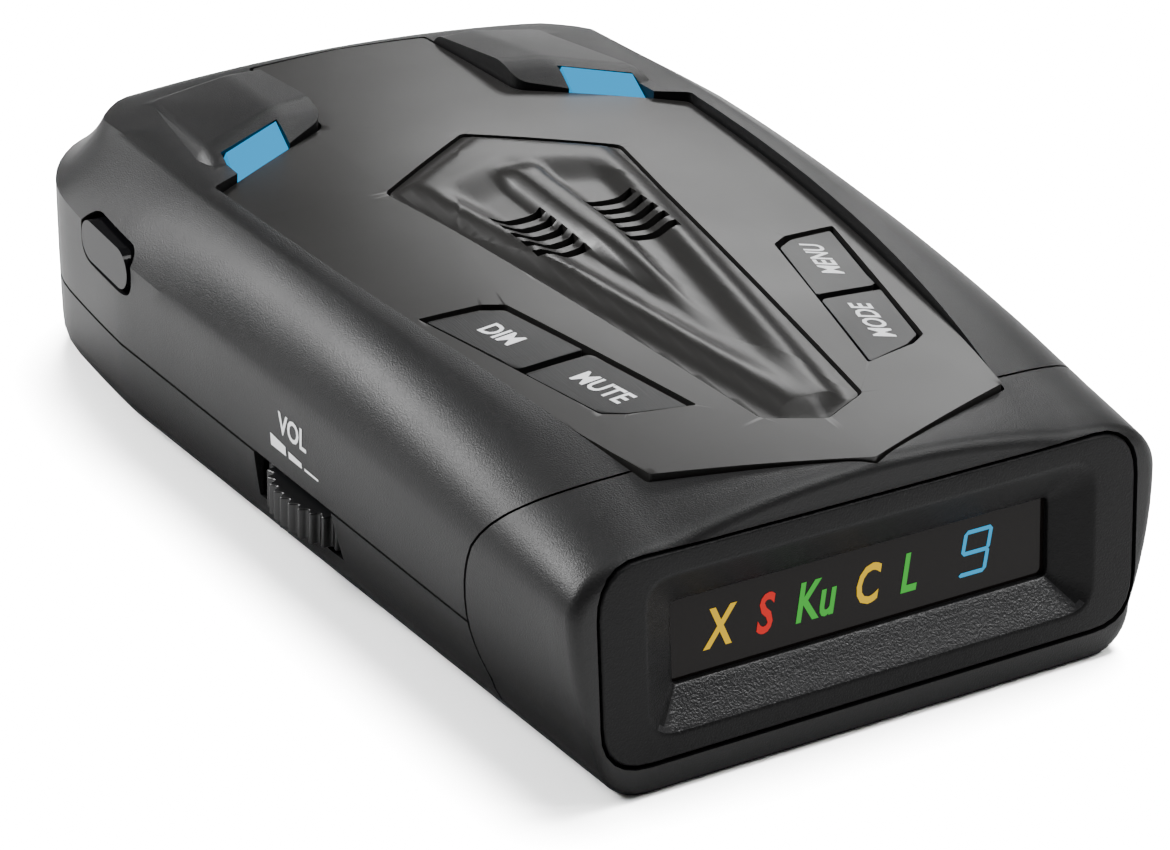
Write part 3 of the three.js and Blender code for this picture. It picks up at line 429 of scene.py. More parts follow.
def brow(side):
    """The hood in front of one alert light, its long edges softened."""
    form = bmesh.new()
    rows = []
    for x, height, rear_y in ((9.7, HEIGHT + 1.1, WIDEST + 7.8), (15.6, HEIGHT + 1.2, WIDEST + 6.1),
                              (24.6, HEIGHT - 0.1, WIDEST + 2.6), (27.4, HEIGHT - 3.2, WIDEST + 1.4)):
        profile = [(x, rear_y - 3.1, HEIGHT - 10), (x, rear_y - 3.1, height - 2.5), (x, rear_y, height - 0.5),
                   (x, rear_y + 2.6, height), (x * 0.92, FRONT - 8, height - 1.8),
                   (x * 0.84, FRONT - 5.5, height - 4.5),
                   (x * 0.8, FRONT - 5.5, HEIGHT - 10)]
        rows.append([form.verts.new((side * px, py, pz)) for px, py, pz in profile])
    for row, following in zip(rows, rows[1:]):
        for k in range(7):
            form.faces.new((row[k], row[(k + 1) % 7], following[(k + 1) % 7], following[k]))
    form.faces.new(rows[0])
    form.faces.new(rows[-1])
    bmesh.ops.recalc_face_normals(form, faces=form.faces)
    soft = [e for e in form.edges if min(v.co.z for v in e.verts) > HEIGHT - 7]
    bmesh.ops.bevel(form, geom=soft, offset=0.7, segments=3, profile=0.5, affect="EDGES", material=-1,
                    clamp_overlap=True)
    return to_object(form, "brow")


def lens_prism(side, grow, near, far):
    """The slanted window of one alert light, from near to far under its own face."""
    form = bmesh.new()
    lean = Vector((0, 0.57, -0.82))
    corners = [(16.2 - grow, WIDEST + 3.6 - grow, HEIGHT - 1.1 - grow),
               (23.3 + grow, WIDEST + 0.5 - grow, HEIGHT - 2.1 - grow),
               (23.1 + grow, WIDEST + 3.3 + grow, HEIGHT - 0.1 + grow),
               (16.3 - grow, WIDEST + 6.2 + grow, HEIGHT + 0.8 + grow)]
    face = form.faces.new([form.verts.new(Vector((side * x, y, z)) + lean * near) for x, y, z in corners])
    grown = bmesh.ops.extrude_face_region(form, geom=[face])["geom"]
    bmesh.ops.translate(form, vec=lean * (far - near), verts=verts_of(grown))
    bmesh.ops.recalc_face_normals(form, faces=form.faces)
    return to_object(form, "lens_prism")


def round_bar(radius, start, end, segments=40):
    form = bmesh.new()
    along = Vector(end) - Vector(start)
    turn = along.to_track_quat("Z", "Y").to_matrix().to_4x4()
    place = Matrix.Translation((Vector(start) + Vector(end)) / 2) @ turn
    bmesh.ops.create_cone(form, cap_ends=True, segments=segments, radius1=radius, radius2=radius,
                          depth=along.length, matrix=place)
    return to_object(form, "round_bar")


BEZEL_WIDTH = 55.2
BEZEL_HEIGHT = 18.6
BEZEL_CORNER = 4.5
BEZEL_Z = 12.2
BEZEL_DEPTH = 3.4
FACE_Y = REAR + math.tan(REAR_TILT) * (BEZEL_Z - REAR_EDGE)


def on_rear_face(body):
    """Lays a piece drawn as x across, y inward and z up the face onto the tilted display face."""
    body.data.transform(Matrix.Translation((0, FACE_Y, BEZEL_Z)) @ Matrix.Rotation(-REAR_TILT, 4, "X"))
    return body


def face_slab(points, near, far, name):
    """A straight-sided solid over an outline on the tilted display face, between two depths."""
    form = bmesh.new()
    face = form.faces.new([form.verts.new((x, near, z)) for x, z in points])
    grown = bmesh.ops.extrude_face_region(form, geom=[face])["geom"]
    bmesh.ops.translate(form, vec=(0, far - near, 0), verts=verts_of(grown))
    bmesh.ops.recalc_face_normals(form, faces=form.faces)
    return on_rear_face(to_object(form, name))


WHEEL_RADIUS = 9.5
WHEEL_Y = -7.2
WHEEL_FLOOR = 4.35
WALL_LEAN_AT_WHEEL = 0.96
WHEEL_STANDS_OUT = 1.8
wall_at_wheel = blend(REAR_HALF, WIDTH / 2, (WHEEL_Y - REAR) / (WIDEST - REAR)) - WALL_LEAN_AT_WHEEL
WHEEL_AT = Vector((-(wall_at_wheel + WHEEL_STANDS_OUT - WHEEL_RADIUS), WHEEL_Y, 6.4))
PILL_Y = 27.0
PILL_Z = 17.6
JACK_Y = -21.5
JACK_Z = 13.6

cavity = to_object(case_form(WALL, 0.6, 6.4, WALL + 0.4), "cavity_form")
cavity_under = under_skin(WELL_DROP + 1.5, -8)
carve(cavity, [("INTERSECT", cavity_under)])
well = outline_prism(plate_outline(SEAM), HEIGHT - 8, HEIGHT + 6, "plate_well")
well_floor = under_skin(WELL_DROP, -8)
carve(well, [("DIFFERENCE", well_floor)])
behind_front = collar_region(SEAM / 2)
behind_rear = collar_region(-SEAM / 2)
brows = [brow(1), brow(-1)]
lens_holes = [lens_prism(side, SEAM, -2, 2.3) for side in (1, -1)]
below_seam = block((WIDTH * 2, LENGTH * 2, 40), (0, 0, SEAM_Z + SEAM / 2 - 20))
above_seam = block((WIDTH * 2, LENGTH * 2, 60), (0, 0, SEAM_Z - SEAM / 2 + 30))
pill_recess = outline_prism(rounded_box(11.6, 5.2, 2.6, PILL_Y, PILL_Z), -WIDTH, -WIDTH / 2 + 6,
                            "pill_recess", axis="X")
jack_hole = round_bar(3.5, (20, JACK_Y, JACK_Z), (WIDTH, JACK_Y, JACK_Z))
laser_hole = block((8.6, 12, 6.2), (18.5, FRONT - 5, 15.0))
sound_hole = round_bar(10, (0, -2, 12), (0, -2, HEIGHT + 3))
wheel_slot = block((20, 13, 12), (WHEEL_AT.x - 12, WHEEL_AT.y, WHEEL_FLOOR + 6))
wheel_well = round_bar(WHEEL_RADIUS + 0.6, (WHEEL_AT.x, WHEEL_AT.y, WHEEL_FLOOR),
                       (WHEEL_AT.x, WHEEL_AT.y, 16))
bracket_hole = block((26, 12, 4.6), (0, FRONT - 4, 5.6))

upper_shell = to_object(case_form(0, 0, 0, 0), "upper_shell")
steps = [("UNION", b) for b in brows] + [("DIFFERENCE", c) for c in (cavity, behind_front, well, below_seam,
                                                                     *lens_holes,
                                                                   pill_recess, jack_hole, laser_hole,
                                                                   sound_hole)]
carve(upper_shell, steps)
lower_shell = to_object(case_form(0, 0, 0, 0), "lower_shell")
carve(lower_shell,
      [("DIFFERENCE", c) for c in (cavity, behind_front, above_seam, wheel_slot, wheel_well, bracket_hole)])

display_collar = to_object(case_form(0, 0, 0, 0), "display_collar_shell")
bezel_seat = face_slab(rounded_box(BEZEL_WIDTH + 2 * SEAM, BEZEL_HEIGHT + 2 * SEAM, BEZEL_CORNER + SEAM),
                       -4, BEZEL_DEPTH + SEAM, "bezel_seat")
bezel_hole = face_slab(rounded_box(BEZEL_WIDTH - 3, BEZEL_HEIGHT - 3, BEZEL_CORNER - 1.5), 0, 9, "bezel_hole")
carve(display_collar,
      [("INTERSECT", behind_rear), ("DIFFERENCE", well), ("DIFFERENCE", cavity), ("DIFFERENCE", bezel_seat),
                       ("DIFFERENCE", bezel_hole)])
drop_objects(bezel_seat, bezel_hole)
drop_objects(cavity_under, well_floor, *brows, *lens_holes, below_seam, above_seam, pill_recess, jack_hole,
             laser_hole, sound_hole, wheel_slot, wheel_well, bracket_hole, cavity, behind_front, well,
             behind_rear)


def settle(body, material, rides, nodes=(), sharp=32, even=False):
    """Turns a piece from millimetres to metres, smooths it up to sharp edges and hands it to its CAD body."""
    mesh = body.data
    mesh.transform(Matrix.Scale(0.001, 4))
    for face in mesh.polygons:
        face.use_smooth = True
    mesh.set_sharp_from_angle(angle=math.radians(sharp))
    mesh.materials.clear()
    mesh.materials.append(material)
    if even:
        evened = body.modifiers.new("even_shading", "WEIGHTED_NORMAL")
        evened.keep_sharp = True
        evened.weight = 80
    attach(body, rides)
    if nodes:
        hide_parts(*nodes)
    return body


def moulded_grain():
    """A fine spark-eroded grain for moulded surfaces, as a normal."""
    group = bpy.data.node_groups.new("moulded_grain", "ShaderNodeTree")
    group.interface.new_socket(name="Size", in_out="INPUT", socket_type="NodeSocketFloat")
    group.interface.new_socket(name="Depth", in_out="INPUT", socket_type="NodeSocketFloat")
    group.interface.new_socket(name="Normal", in_out="OUTPUT", socket_type="NodeSocketVector")
    start = group.nodes.new("NodeGroupInput")
    end = group.nodes.new("NodeGroupOutput")
    place = group.nodes.new("ShaderNodeTexCoord")
    grain = group.nodes.new("ShaderNodeTexNoise")
    grain.inputs["Detail"].default_value = 2.0
    grain.inputs["Roughness"].default_value = 0.6
    bump = group.nodes.new("ShaderNodeBump")
    bump.inputs["Distance"].default_value = 0.00006
    group.links.new(place.outputs["Object"], grain.inputs["Vector"])
    group.links.new(start.outputs["Size"], grain.inputs["Scale"])
    group.links.new(start.outputs["Depth"], bump.inputs["Strength"])
    group.links.new(grain.outputs["Fac"], bump.inputs["Height"])
    group.links.new(bump.outputs["Normal"], end.inputs["Normal"])
    return group


def soft_wear():
    """Slow unevenness over a surface, from 0 to 1, for roughness."""
    group = bpy.data.node_groups.new("soft_wear", "ShaderNodeTree")
    group.interface.new_socket(name="Size", in_out="INPUT", socket_type="NodeSocketFloat")
    group.interface.new_socket(name="Low", in_out="INPUT", socket_type="NodeSocketFloat")
    group.interface.new_socket(name="High", in_out="INPUT", socket_type="NodeSocketFloat")
    group.interface.new_socket(name="Value", in_out="OUTPUT", socket_type="NodeSocketFloat")
    start = group.nodes.new("NodeGroupInput")
    end = group.nodes.new("NodeGroupOutput")
    place = group.nodes.new("ShaderNodeTexCoord")
    cloud = group.nodes.new("ShaderNodeTexNoise")
    cloud.inputs["Detail"].default_value = 4.0
    ramp = group.nodes.new("ShaderNodeMapRange")
    ramp.inputs["From Min"].default_value = 0.3
    ramp.inputs["From Max"].default_value = 0.7
    group.links.new(place.outputs["Object"], cloud.inputs["Vector"])
    group.links.new(start.outputs["Size"], cloud.inputs["Scale"])
    group.links.new(cloud.outputs["Fac"], ramp.inputs["Value"])
    group.links.new(start.outputs["Low"], ramp.inputs["To Min"])
    group.links.new(start.outputs["High"], ramp.inputs["To Max"])
    group.links.new(ramp.outputs["Result"], end.inputs["Value"])
    return group


GRAIN = moulded_grain()
WEAR = soft_wear()


def finish_of(name, colour, rough, metallic=0.0, grain=None, wear=40.0, coat=0.0, shine=0.3):
    """A material with slow changes of gloss and, where grain is (size, depth), a moulded or worked grain."""
    material = bpy.data.materials.new(name)
    material.use_nodes = True
    nodes = material.node_tree.nodes
    links = material.node_tree.links
    shell = nodes["Principled BSDF"]
    shell.inputs["Base Color"].default_value = (*colour, 1)
    shell.inputs["Metallic"].default_value = metallic
    shell.inputs["Coat Weight"].default_value = coat
    shell.inputs["Coat Roughness"].default_value = 0.12
    shell.inputs["Specular IOR Level"].default_value = shine
    uneven = nodes.new("ShaderNodeGroup")
    uneven.node_tree = WEAR
    uneven.inputs["Size"].default_value = wear
    uneven.inputs["Low"].default_value = max(0.02, rough * 0.88)
    uneven.inputs["High"].default_value = min(1.0, rough * 1.12)
    links.new(uneven.outputs["Value"], shell.inputs["Roughness"])
    if grain:
        texture = nodes.new("ShaderNodeGroup")
        texture.node_tree = GRAIN
        texture.inputs["Size"].default_value = grain[0]
        texture.inputs["Depth"].default_value = grain[1]
        links.new(texture.outputs["Normal"], shell.inputs["Normal"])
    return material


case_black = finish_of("case_black", (0.0065, 0.0065, 0.0068), 0.4, grain=(7000.0, 0.6), shine=0.3)
for shell, node in ((upper_shell, "upper_housing"), (lower_shell, "lower_housing"),
                    (display_collar, "display_collar")):
    settle(shell, case_black, "case", [node])

# ---- display bezel --------------------------------------------------------------------------
# A flush frame tilted with the rear face, whose funnel narrows to the window. The lower slope
# has a coarser grain and a lighter colour, a painted highlight, and the funnel's outer edge is soft.


def face_rings(rings, name):
    """A closed skin over rounded rectangles (width, height, corner, depth into the face), bridged in order."""
    form = bmesh.new()
    rows = []
    for width, height, corner, depth in rings:
        points = rounded_box(width, height, corner)
        rows.append([form.verts.new((x, depth, z)) for x, z in points])
    for row, following in zip(rows, rows[1:]):
        count = len(row)
        for k in range(count):
            form.faces.new((row[k], row[(k + 1) % count], following[(k + 1) % count], following[k]))
    first, last = rows[0], rows[-1]
    count = len(first)
    for k in range(count):
        form.faces.new((last[k], last[(k + 1) % count], first[(k + 1) % count], first[k]))
    bmesh.ops.recalc_face_normals(form, faces=form.faces)
    return to_object(form, name)


bezel_rings = [(41.0, 9.4, 0.9, BEZEL_DEPTH),
               (BEZEL_WIDTH - 0.2, BEZEL_HEIGHT - 0.2, BEZEL_CORNER, BEZEL_DEPTH),
               (BEZEL_WIDTH, BEZEL_HEIGHT, BEZEL_CORNER, 0.3),
               (BEZEL_WIDTH - 0.18, BEZEL_HEIGHT - 0.18, BEZEL_CORNER, 0.08),
               (BEZEL_WIDTH - 0.5, BEZEL_HEIGHT - 0.5, BEZEL_CORNER - 0.2, 0.0), (46.8, 15.0, 3.0, 0.0),
               (46.0, 14.2, 2.7, 0.1),
               (45.2, 13.4, 2.4, 0.45), (40.2, 8.6, 0.9, 1.85), (39.4, 7.8, 0.7, 2.1),
               (39.2, 7.6, 0.6, 2.2), (39.2, 7.6, 0.6, 2.7)]
display_bezel = on_rear_face(face_rings(bezel_rings, "display_bezel_frame"))
settle(display_bezel,
               finish_of("bezel_black", (0.004, 0.004, 0.0043), 0.42, grain=(6000.0, 0.9), shine=0.16),
               "case",
               ["display_bezel"], sharp=50, even=True)

# The slope under the window is coarser, and its lighter colour is a painted highlight.
sill_painted_highlight = finish_of("bezel_sill_painted_highlight", (0.012, 0.012, 0.013), 0.36, grain=(4200.0, 1.0), shine=0.4)
display_bezel.data.materials.append(sill_painted_highlight)
# Faces that look up and back toward the lights take the lighter sill colour: a painted highlight.
for face in display_bezel.data.polygons:
    if face.normal.z > 0.5 and face.normal.y < 0 and abs(face.center.x) < 0.0235 and face.center.z < (BEZEL_Z - 2) / 1000:
        face.material_index = 1

# ---- display window and its letters ---------------------------------------------------------
# A smoked pane with lit band letters and a digit made of six bars shining through it.
smoked = finish_of("smoked_window", (0.006, 0.0045, 0.004), 0.1, shine=0.12)
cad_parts["display_window"].material_slots[0].material = smoked


def glow(name, colour, strength):
    material = bpy.data.materials.new(name)
    material.use_nodes = True
    nodes = material.node_tree.nodes
    lamp = nodes["Principled BSDF"]
    lamp.inputs["Base Color"].default_value = (*[0.05 * part for part in colour], 1)
    lamp.inputs["Specular IOR Level"].default_value = 0.1
    lamp.inputs["Emission Color"].default_value = (*colour, 1)
    lamp.inputs["Emission Strength"].default_value = strength
    lamp.inputs["Roughness"].default_value = 0.4
    return material


def lettering(words, size, name, slant=0.0, stretch=1.0):
    """Flat lettering as a mesh, centred on its own origin, with its height along Y."""
    curve = bpy.data.curves.new(name, "FONT")
    curve.body = words
    curve.size = size
    curve.shear = slant
    curve.align_x = "CENTER"
    curve.offset = size * 0.022
    curve.resolution_u = 3
    holder = bpy.data.objects.new(name + "_text", curve)
    bpy.context.collection.objects.link(holder)
    depsgraph = bpy.context.evaluated_depsgraph_get()
    mesh = bpy.data.meshes.new_from_object(holder.evaluated_get(depsgraph))
    bpy.data.objects.remove(holder)
    bpy.data.curves.remove(curve)
    mesh.transform(Matrix.Diagonal((stretch, 1, 1, 1)) @ Matrix.Translation((0, -size * 0.35, 0)))
    body = bpy.data.objects.new(name, mesh)
    bpy.context.collection.objects.link(body)
    return body


UPRIGHT = Matrix(((1, 0, 0, 0), (0, 0, -1, 0), (0, 1, 0, 0), (0, 0, 0, 1)))
GLYPH_DEPTH = 2.66
for words, across, tint in (("X", -14.7, (1.0, 0.62, 0.01)), ("S", -10.1, (0.85, 0.02, 0.015)),
                            ("Ku", -4.9, (0.05, 0.55, 0.05)),
                            ("C", 0.4, (1.0, 0.62, 0.01)), ("L", 4.8, (0.05, 0.55, 0.05))):
    glyph = lettering(words, 5.0, "band_" + words.lower(), slant=0.25, stretch=0.72)
    glyph.data.transform(Matrix.Translation((across, GLYPH_DEPTH, 0.1)) @ UPRIGHT)
    settle(on_rear_face(glyph), glow("glow_" + words.lower(), tint, 0.85), "case")

digit = bmesh.new()
for low, high, kind in (((-1.2, 1.95), (1.2, 1.95), "h"), ((-1.2, 0.0), (1.2, 0.0), "h"),
                        ((-1.2, -1.95), (1.2, -1.95), "h"),
                        ((-1.35, 0.15), (-1.35, 1.8), "v"), ((1.35, 0.15), (1.35, 1.8), "v"),
                        ((1.35, -1.8), (1.35, -0.15), "v")):
    half = 0.2
    (x0, z0), (x1, z1) = low, high
    if kind == "h":
        bar = [(x0, z0 - half), (x1, z0 - half), (x1 + half, z0), (x1, z0 + half), (x0, z0 + half),
               (x0 - half, z0)]
    else:
        bar = [(x0 - half, z0), (x0, z0 - half), (x0 + half, z0), (x0 + half, z1), (x0, z1 + half),
               (x0 - half, z1)]
    digit.faces.new([digit.verts.new((12.1 + x + 0.2 * z, GLYPH_DEPTH, 0.25 + z)) for x, z in bar])
settle(on_rear_face(to_object(digit, "signal_digit")), glow("glow_cyan", (0.02, 0.45, 0.85), 0.9), "case")

# ---- top trim plate -------------------------------------------------------------------------
# A satin dark shield let into the case top, with openings for the cowl and the button pockets,
# following the crown of the case.


def draped(outline, holes, drop, thickness, edge, name, lift=None, cell=2.5):
    """A sheet over an outline that follows the crowned skin, with softened top edges."""
    form = bmesh.new()
    rims = []
    for loop in [outline, *holes]:
        verts = [form.verts.new((x, y, 0)) for x, y in loop]
        rims += [form.edges.new((verts[k - 1], verts[k])) for k in range(len(verts))]
    bmesh.ops.triangle_fill(form, edges=rims, use_beauty=True, use_dissolve=False)
    grown = bmesh.ops.extrude_face_region(form, geom=form.faces[:])["geom"]
    bmesh.ops.translate(form, vec=(0, 0, thickness), verts=verts_of(grown))
    bmesh.ops.recalc_face_normals(form, faces=form.faces)
    top_edges = [e for e in form.edges if all(v.co.z > thickness - 0.01 for v in e.verts)
                 and e.is_manifold and e.calc_face_angle(0) > 1.2]
    bmesh.ops.bevel(form, geom=top_edges, offset=edge, segments=3, profile=0.5, affect="EDGES", material=-1,
                    clamp_overlap=True)
    for axis, reach in ((0, WIDTH / 2), (1, LENGTH / 2)):
        count = int(reach / cell)
        for k in range(-count, count + 1):
            normal = Vector((1, 0, 0)) if axis == 0 else Vector((0, 1, 0))
            geometry = form.verts[:] + form.edges[:] + form.faces[:]
            bmesh.ops.bisect_plane(form, geom=geometry, plane_co=normal * (k * cell + 0.013), plane_no=normal)
    for vert in form.verts:
        under = thickness - vert.co.z
        x, y = vert.co.x, vert.co.y
        raised = lift(x, y) * (1 - under / thickness) if lift else 0
        vert.co.z = skin_height(x, y) - drop - under + raised
    return to_object(form, name)


POCKET_REAR = -35.4
POCKET_SPLIT = -23.2
POCKET_FRONT = -10.6
POCKET_LENGTH = 24.8


def pocket_edge(y, inner):
    """How far out the pocket's inner or outer long edge lies at y."""
    t = (y - POCKET_REAR) / POCKET_LENGTH
    return blend(8.9, 14.8, t) if inner else blend(16.6, 22.4, t)


def pocket_outline(side, low, high, shrink, rear, front):
    """The outline of a button pocket, or of one cap in it, cut at its outer rear and inner front corners."""
    low, high, cut = low + shrink, high - shrink, 1.6
    points = [(pocket_edge(low, True) + shrink, low - (0.6 if rear else 0), 0.2),
              (pocket_edge(low, False) - shrink - (cut if rear else 0), low + (1 if rear else 0), 0.8),
              (pocket_edge(low + cut, False) - shrink, low + cut * 1.4, 0.8),
              (pocket_edge(high, False) - shrink, high, 0.2),
              (pocket_edge(high, True) + shrink + (cut if front else 0), high - (0.7 if front else 0), 0.8),
              (pocket_edge(high - cut, True) + shrink, high - cut * 1.2, 0.8)]
    points = points if side > 0 else [(-x, y, r) for x, y, r in reversed(points)]
    return rounded_outline([(x, y) for x, y, r in points], [r for x, y, r in points], 4)


def cowl_outline(grow):
    half = [(0, REAR + 11.3 - grow, 1.0), (5 + grow, REAR + 13.7 - grow * 0.5, 1.0), (11.1 + grow, 2.5, 3.0),
            (12.9 + grow, WIDEST - 11 + grow * 0.5, 1.2), (0, WIDEST - 2.3 + grow, 1.0)]
    points = half + [(-x, y, r) for x, y, r in reversed(half[1:-1])]
    return rounded_outline([(x, y) for x, y, r in points], [r for x, y, r in points], 5)


pockets = [pocket_outline(side, POCKET_REAR, POCKET_FRONT, 0.0, True, True) for side in (1, -1)]
plate = draped(plate_outline(0), [cowl_outline(SEAM), *pockets], 0.0, PLATE_THICKNESS, 0.28, "top_trim_plate")
trim_satin = finish_of("trim_satin", (0.0125, 0.012, 0.0115), 0.34, grain=(9000.0, 0.05), shine=0.32)
settle(plate, trim_satin, "case", ["top_plate"], sharp=50, even=True)

# ---- speaker cowl ---------------------------------------------------------------------------
# A long kite standing a little above the plate, hollowed round a central ridge, with a row of
# curved sound slots on each side of the ridge.
SPEAKER_Y = -2.0
KITE = [Vector((0, -42.7)), Vector((5, -40.3)), Vector((11.1, 2.5)), Vector((12.9, 13.0)), Vector((0, 21.7))]


def kite_inset(x, y):
    """The distance from a point of the cowl in to its outline."""
    here = Vector((abs(x), y))
    nearest = 99.0
    for start, end in zip(KITE, KITE[1:]):
        side = end - start
        outward = Vector((side.y, -side.x)).normalized()
        nearest = min(nearest, (start - here).dot(outward))
    return nearest


def cowl_lift(x, y):
    """How far the cowl stands above the plate's skin: a raised rim, a hollow inside it and the ridge."""
    inset = kite_inset(x, y)
    rim = 0.95 * soft_step(-0.1, 2.4, inset)
    front = soft_step(8.0, 14.0, y + 0.35 * abs(x))
    hollow = 0.85 * soft_step(-41, -24, y) * (1 - front) * soft_step(2.4, 5.0, inset)
    ridge_half = blend(0.3, 1.9, soft_step(-25, 0, y))
    ridge = soft_step(-26, -4,
                      y) * (1 - soft_step(8.5, 12.5, y)) * (1 - soft_step(ridge_half * 0.5,
                                                                          ridge_half * 1.6, abs(x)))
    return rim - hollow + 1.35 * ridge


cowl = draped(cowl_outline(0), [], 0.25, PLATE_THICKNESS, 0.3, "speaker_cowl_shell", lift=cowl_lift, cell=0.7)
slots = []
for row in range(5):
    centre = SPEAKER_Y + (row - 2) * 2.05
    for side in (1, -1):
        bow = [(side * (2.2 + 5.6 * k / 8),
                centre + 0.55 - 0.5 * math.sin(math.pi * k / 8)) for k in range(9)]
        outline = bow + [(x, y - 1.15) for x, y in reversed(bow)]
        slots.append(outline_prism(outline, HEIGHT - 6, HEIGHT + 6, "sound_slot"))
carve(cowl, [("DIFFERENCE", slot) for slot in slots])
drop_objects(*slots)
settle(cowl, trim_satin, "case", ["speaker_cowl"], sharp=50, even=True)

# ---- buttons --------------------------------------------------------------------------------
# Four brushed dark caps in two pockets, each with a short white legend, over black switches.
CAP_SINK = 0.25
LEGEND_SINK = 0.22


def brushed_dark():
    material = finish_of("button_dark", (0.011, 0.0112, 0.0115), 0.36, metallic=0.3)
    nodes = material.node_tree.nodes
    links = material.node_tree.links
    place = nodes.new("ShaderNodeTexCoord")
    turn = nodes.new("ShaderNodeMapping")
    turn.inputs["Scale"].default_value = (9000.0, 500.0, 500.0)
    hairs = nodes.new("ShaderNodeTexNoise")
    hairs.inputs["Scale"].default_value = 1.0
    hairs.inputs["Detail"].default_value = 3.0
    bump = nodes.new("ShaderNodeBump")
    bump.inputs["Strength"].default_value = 0.25
    bump.inputs["Distance"].default_value = 0.00005
    links.new(place.outputs["Object"], turn.inputs["Vector"])
    links.new(turn.outputs["Vector"], hairs.inputs["Vector"])
    links.new(hairs.outputs["Fac"], bump.inputs["Height"])
    links.new(bump.outputs["Normal"], nodes["Principled BSDF"].inputs["Normal"])
    return material


button_dark = brushed_dark()
legend_white = finish_of("legend_white", (0.82, 0.83, 0.84), 0.5)
for name, side, low, high, rear, front, words in (
        ("dim", -1, POCKET_SPLIT, POCKET_FRONT, False, True, "DIM"),
        ("mute", -1, POCKET_REAR, POCKET_SPLIT, True, False, "MUTE"),
        ("menu", 1, POCKET_SPLIT, POCKET_FRONT, False, True, "MENU"),
        ("mode", 1, POCKET_REAR, POCKET_SPLIT, True, False, "MODE")):
    cap = draped(pocket_outline(side, low, high, 0.5, rear, front), [], CAP_SINK, 1.0, 0.3, "cap_" + name,
                 cell=4)
    stem_x, stem_y = side * (16.3 if front else 13.4), (-17.2 if front else -28.6)
    stem = round_bar(1.6, (stem_x, stem_y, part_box("button_" + name)[0][2] * 1000),
                     (stem_x, stem_y, HEIGHT - 1.6), 24)
    carve(cap, [("UNION", stem)])
    drop_objects(stem)
    settle(cap, button_dark, "button_" + name, ["button_" + name], sharp=50, even=True)
    legend = lettering(words, 2.9, "legend_" + name, slant=0.2, stretch=0.82)
    middle = (low + high) / 2 + (0.4 if front else 0.3)
    centre = side * (pocket_edge(middle, True) + pocket_edge(middle, False)) / 2
    along = Vector((0.231, 0.973 * side, 0))
    across = Vector((0, 0, 1)).cross(along)
    lay = Matrix(((along.x, across.x, 0, centre), (along.y, across.y, 0, middle), (0, 0, 1, 0), (0, 0, 0, 1)))
    legend.data.transform(lay)
    for vert in legend.data.vertices:
        vert.co.z = skin_height(vert.co.x, vert.co.y) - LEGEND_SINK
    settle(legend, legend_white, "button_" + name)

# ---- alert lights and laser window ----------------------------------------------------------
# Two cyan windows that glow under the brows, and a dark red laser window in the front face.
alert_cyan = glow("alert_cyan", (0.0, 0.47, 1.0), 0.85)
laser_red = finish_of("laser_red", (0.03, 0.003, 0.005), 0.06, coat=0.3)
for name, material in (("alert_lens_left", alert_cyan), ("alert_lens_right", alert_cyan),
                       ("laser_lens", laser_red)):
    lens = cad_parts[name]
    lens.material_slots[0].material = material
    soft = lens.modifiers.new("soft_edge", "BEVEL")
    soft.width = 0.00015
    soft.segments = 2

# ---- volume wheel ---------------------------------------------------------------------------
# A ribbed thumbwheel on its side, its rim standing out of the wall under the seam.
WHEEL_RIBS = 44
WHEEL_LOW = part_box("volume_wheel")[0][2] * 1000
WHEEL_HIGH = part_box("volume_wheel")[1][2] * 1000
wheel_centre = Vector([(a + b) * 500 for a, b in zip(*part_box("volume_wheel"))])
steps = WHEEL_RIBS * 6
ring = []
for k in range(steps):
    angle = 2 * math.pi * k / steps
    wave = (k % 6) / 6
    radius = WHEEL_RADIUS - 0.62 * (1
                                    - math.sin(math.pi * min(1,
                                                             wave * 1.35))) if wave < 0.74 else WHEEL_RADIUS - 0.62
    ring.append((wheel_centre.x + radius * math.cos(angle), wheel_centre.y + radius * math.sin(angle)))
wheel = outline_prism(ring, WHEEL_LOW, WHEEL_HIGH, "volume_thumbwheel")
bore = round_bar(2.0, (wheel_centre.x, wheel_centre.y, WHEEL_LOW - 1),
                 (wheel_centre.x, wheel_centre.y, WHEEL_HIGH + 1), 32)
carve(wheel, [("DIFFERENCE", bore)])
drop_objects(bore)
wheel_black = finish_of("wheel_black", (0.009, 0.009, 0.0095), 0.32, shine=0.4)
settle(wheel, wheel_black, "volume_wheel", ["volume_wheel"], sharp=50)
softened = wheel.modifiers.new("soft_edge", "BEVEL")
softened.width = 0.00012
softened.segments = 2
softened.limit_method = "ANGLE"
softened.angle_limit = math.radians(50)

# ---- release button -------------------------------------------------------------------------
# A glossy pill in the side recess.
piano_black = finish_of("piano_black", (0.003, 0.003, 0.0035), 0.14, shine=0.14)
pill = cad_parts["release_button"]
pill.material_slots[0].material = piano_black
soft = pill.modifiers.new("soft_edge", "BEVEL")
soft.width = 0.0007
soft.segments = 4
soft.limit_method = "ANGLE"
soft.angle_limit = math.radians(50)

# ---- release spring --------------------------------------------------------------------------
# A plain coil behind the button, a copy of the CAD spring.
coil = bpy.data.objects.new("release_coil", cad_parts["release_spring"].data.copy())
bpy.context.collection.objects.link(coil)
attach(coil, "case")
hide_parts("release_spring")
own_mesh(coil)

# ---- side label -----------------------------------------------------------------------------
# A printed volume legend over the wheel: a word and three shrinking bars.


def on_left_wall(body, lift=0.04):
    """Bends a flat print with x as y along the case and y as height onto the left wall."""
    for vert in body.data.vertices:
        y, z = vert.co.x, vert.co.y
        half = half_section(y, 0, 0)
        for (x0, z0), (x1, z1) in zip(half, half[1:]):
            if z0 <= z <= z1:
                vert.co = (-(blend(x0, x1, (z - z0) / max(1e-6, z1 - z0)) + lift), y, z)
                break
    return body


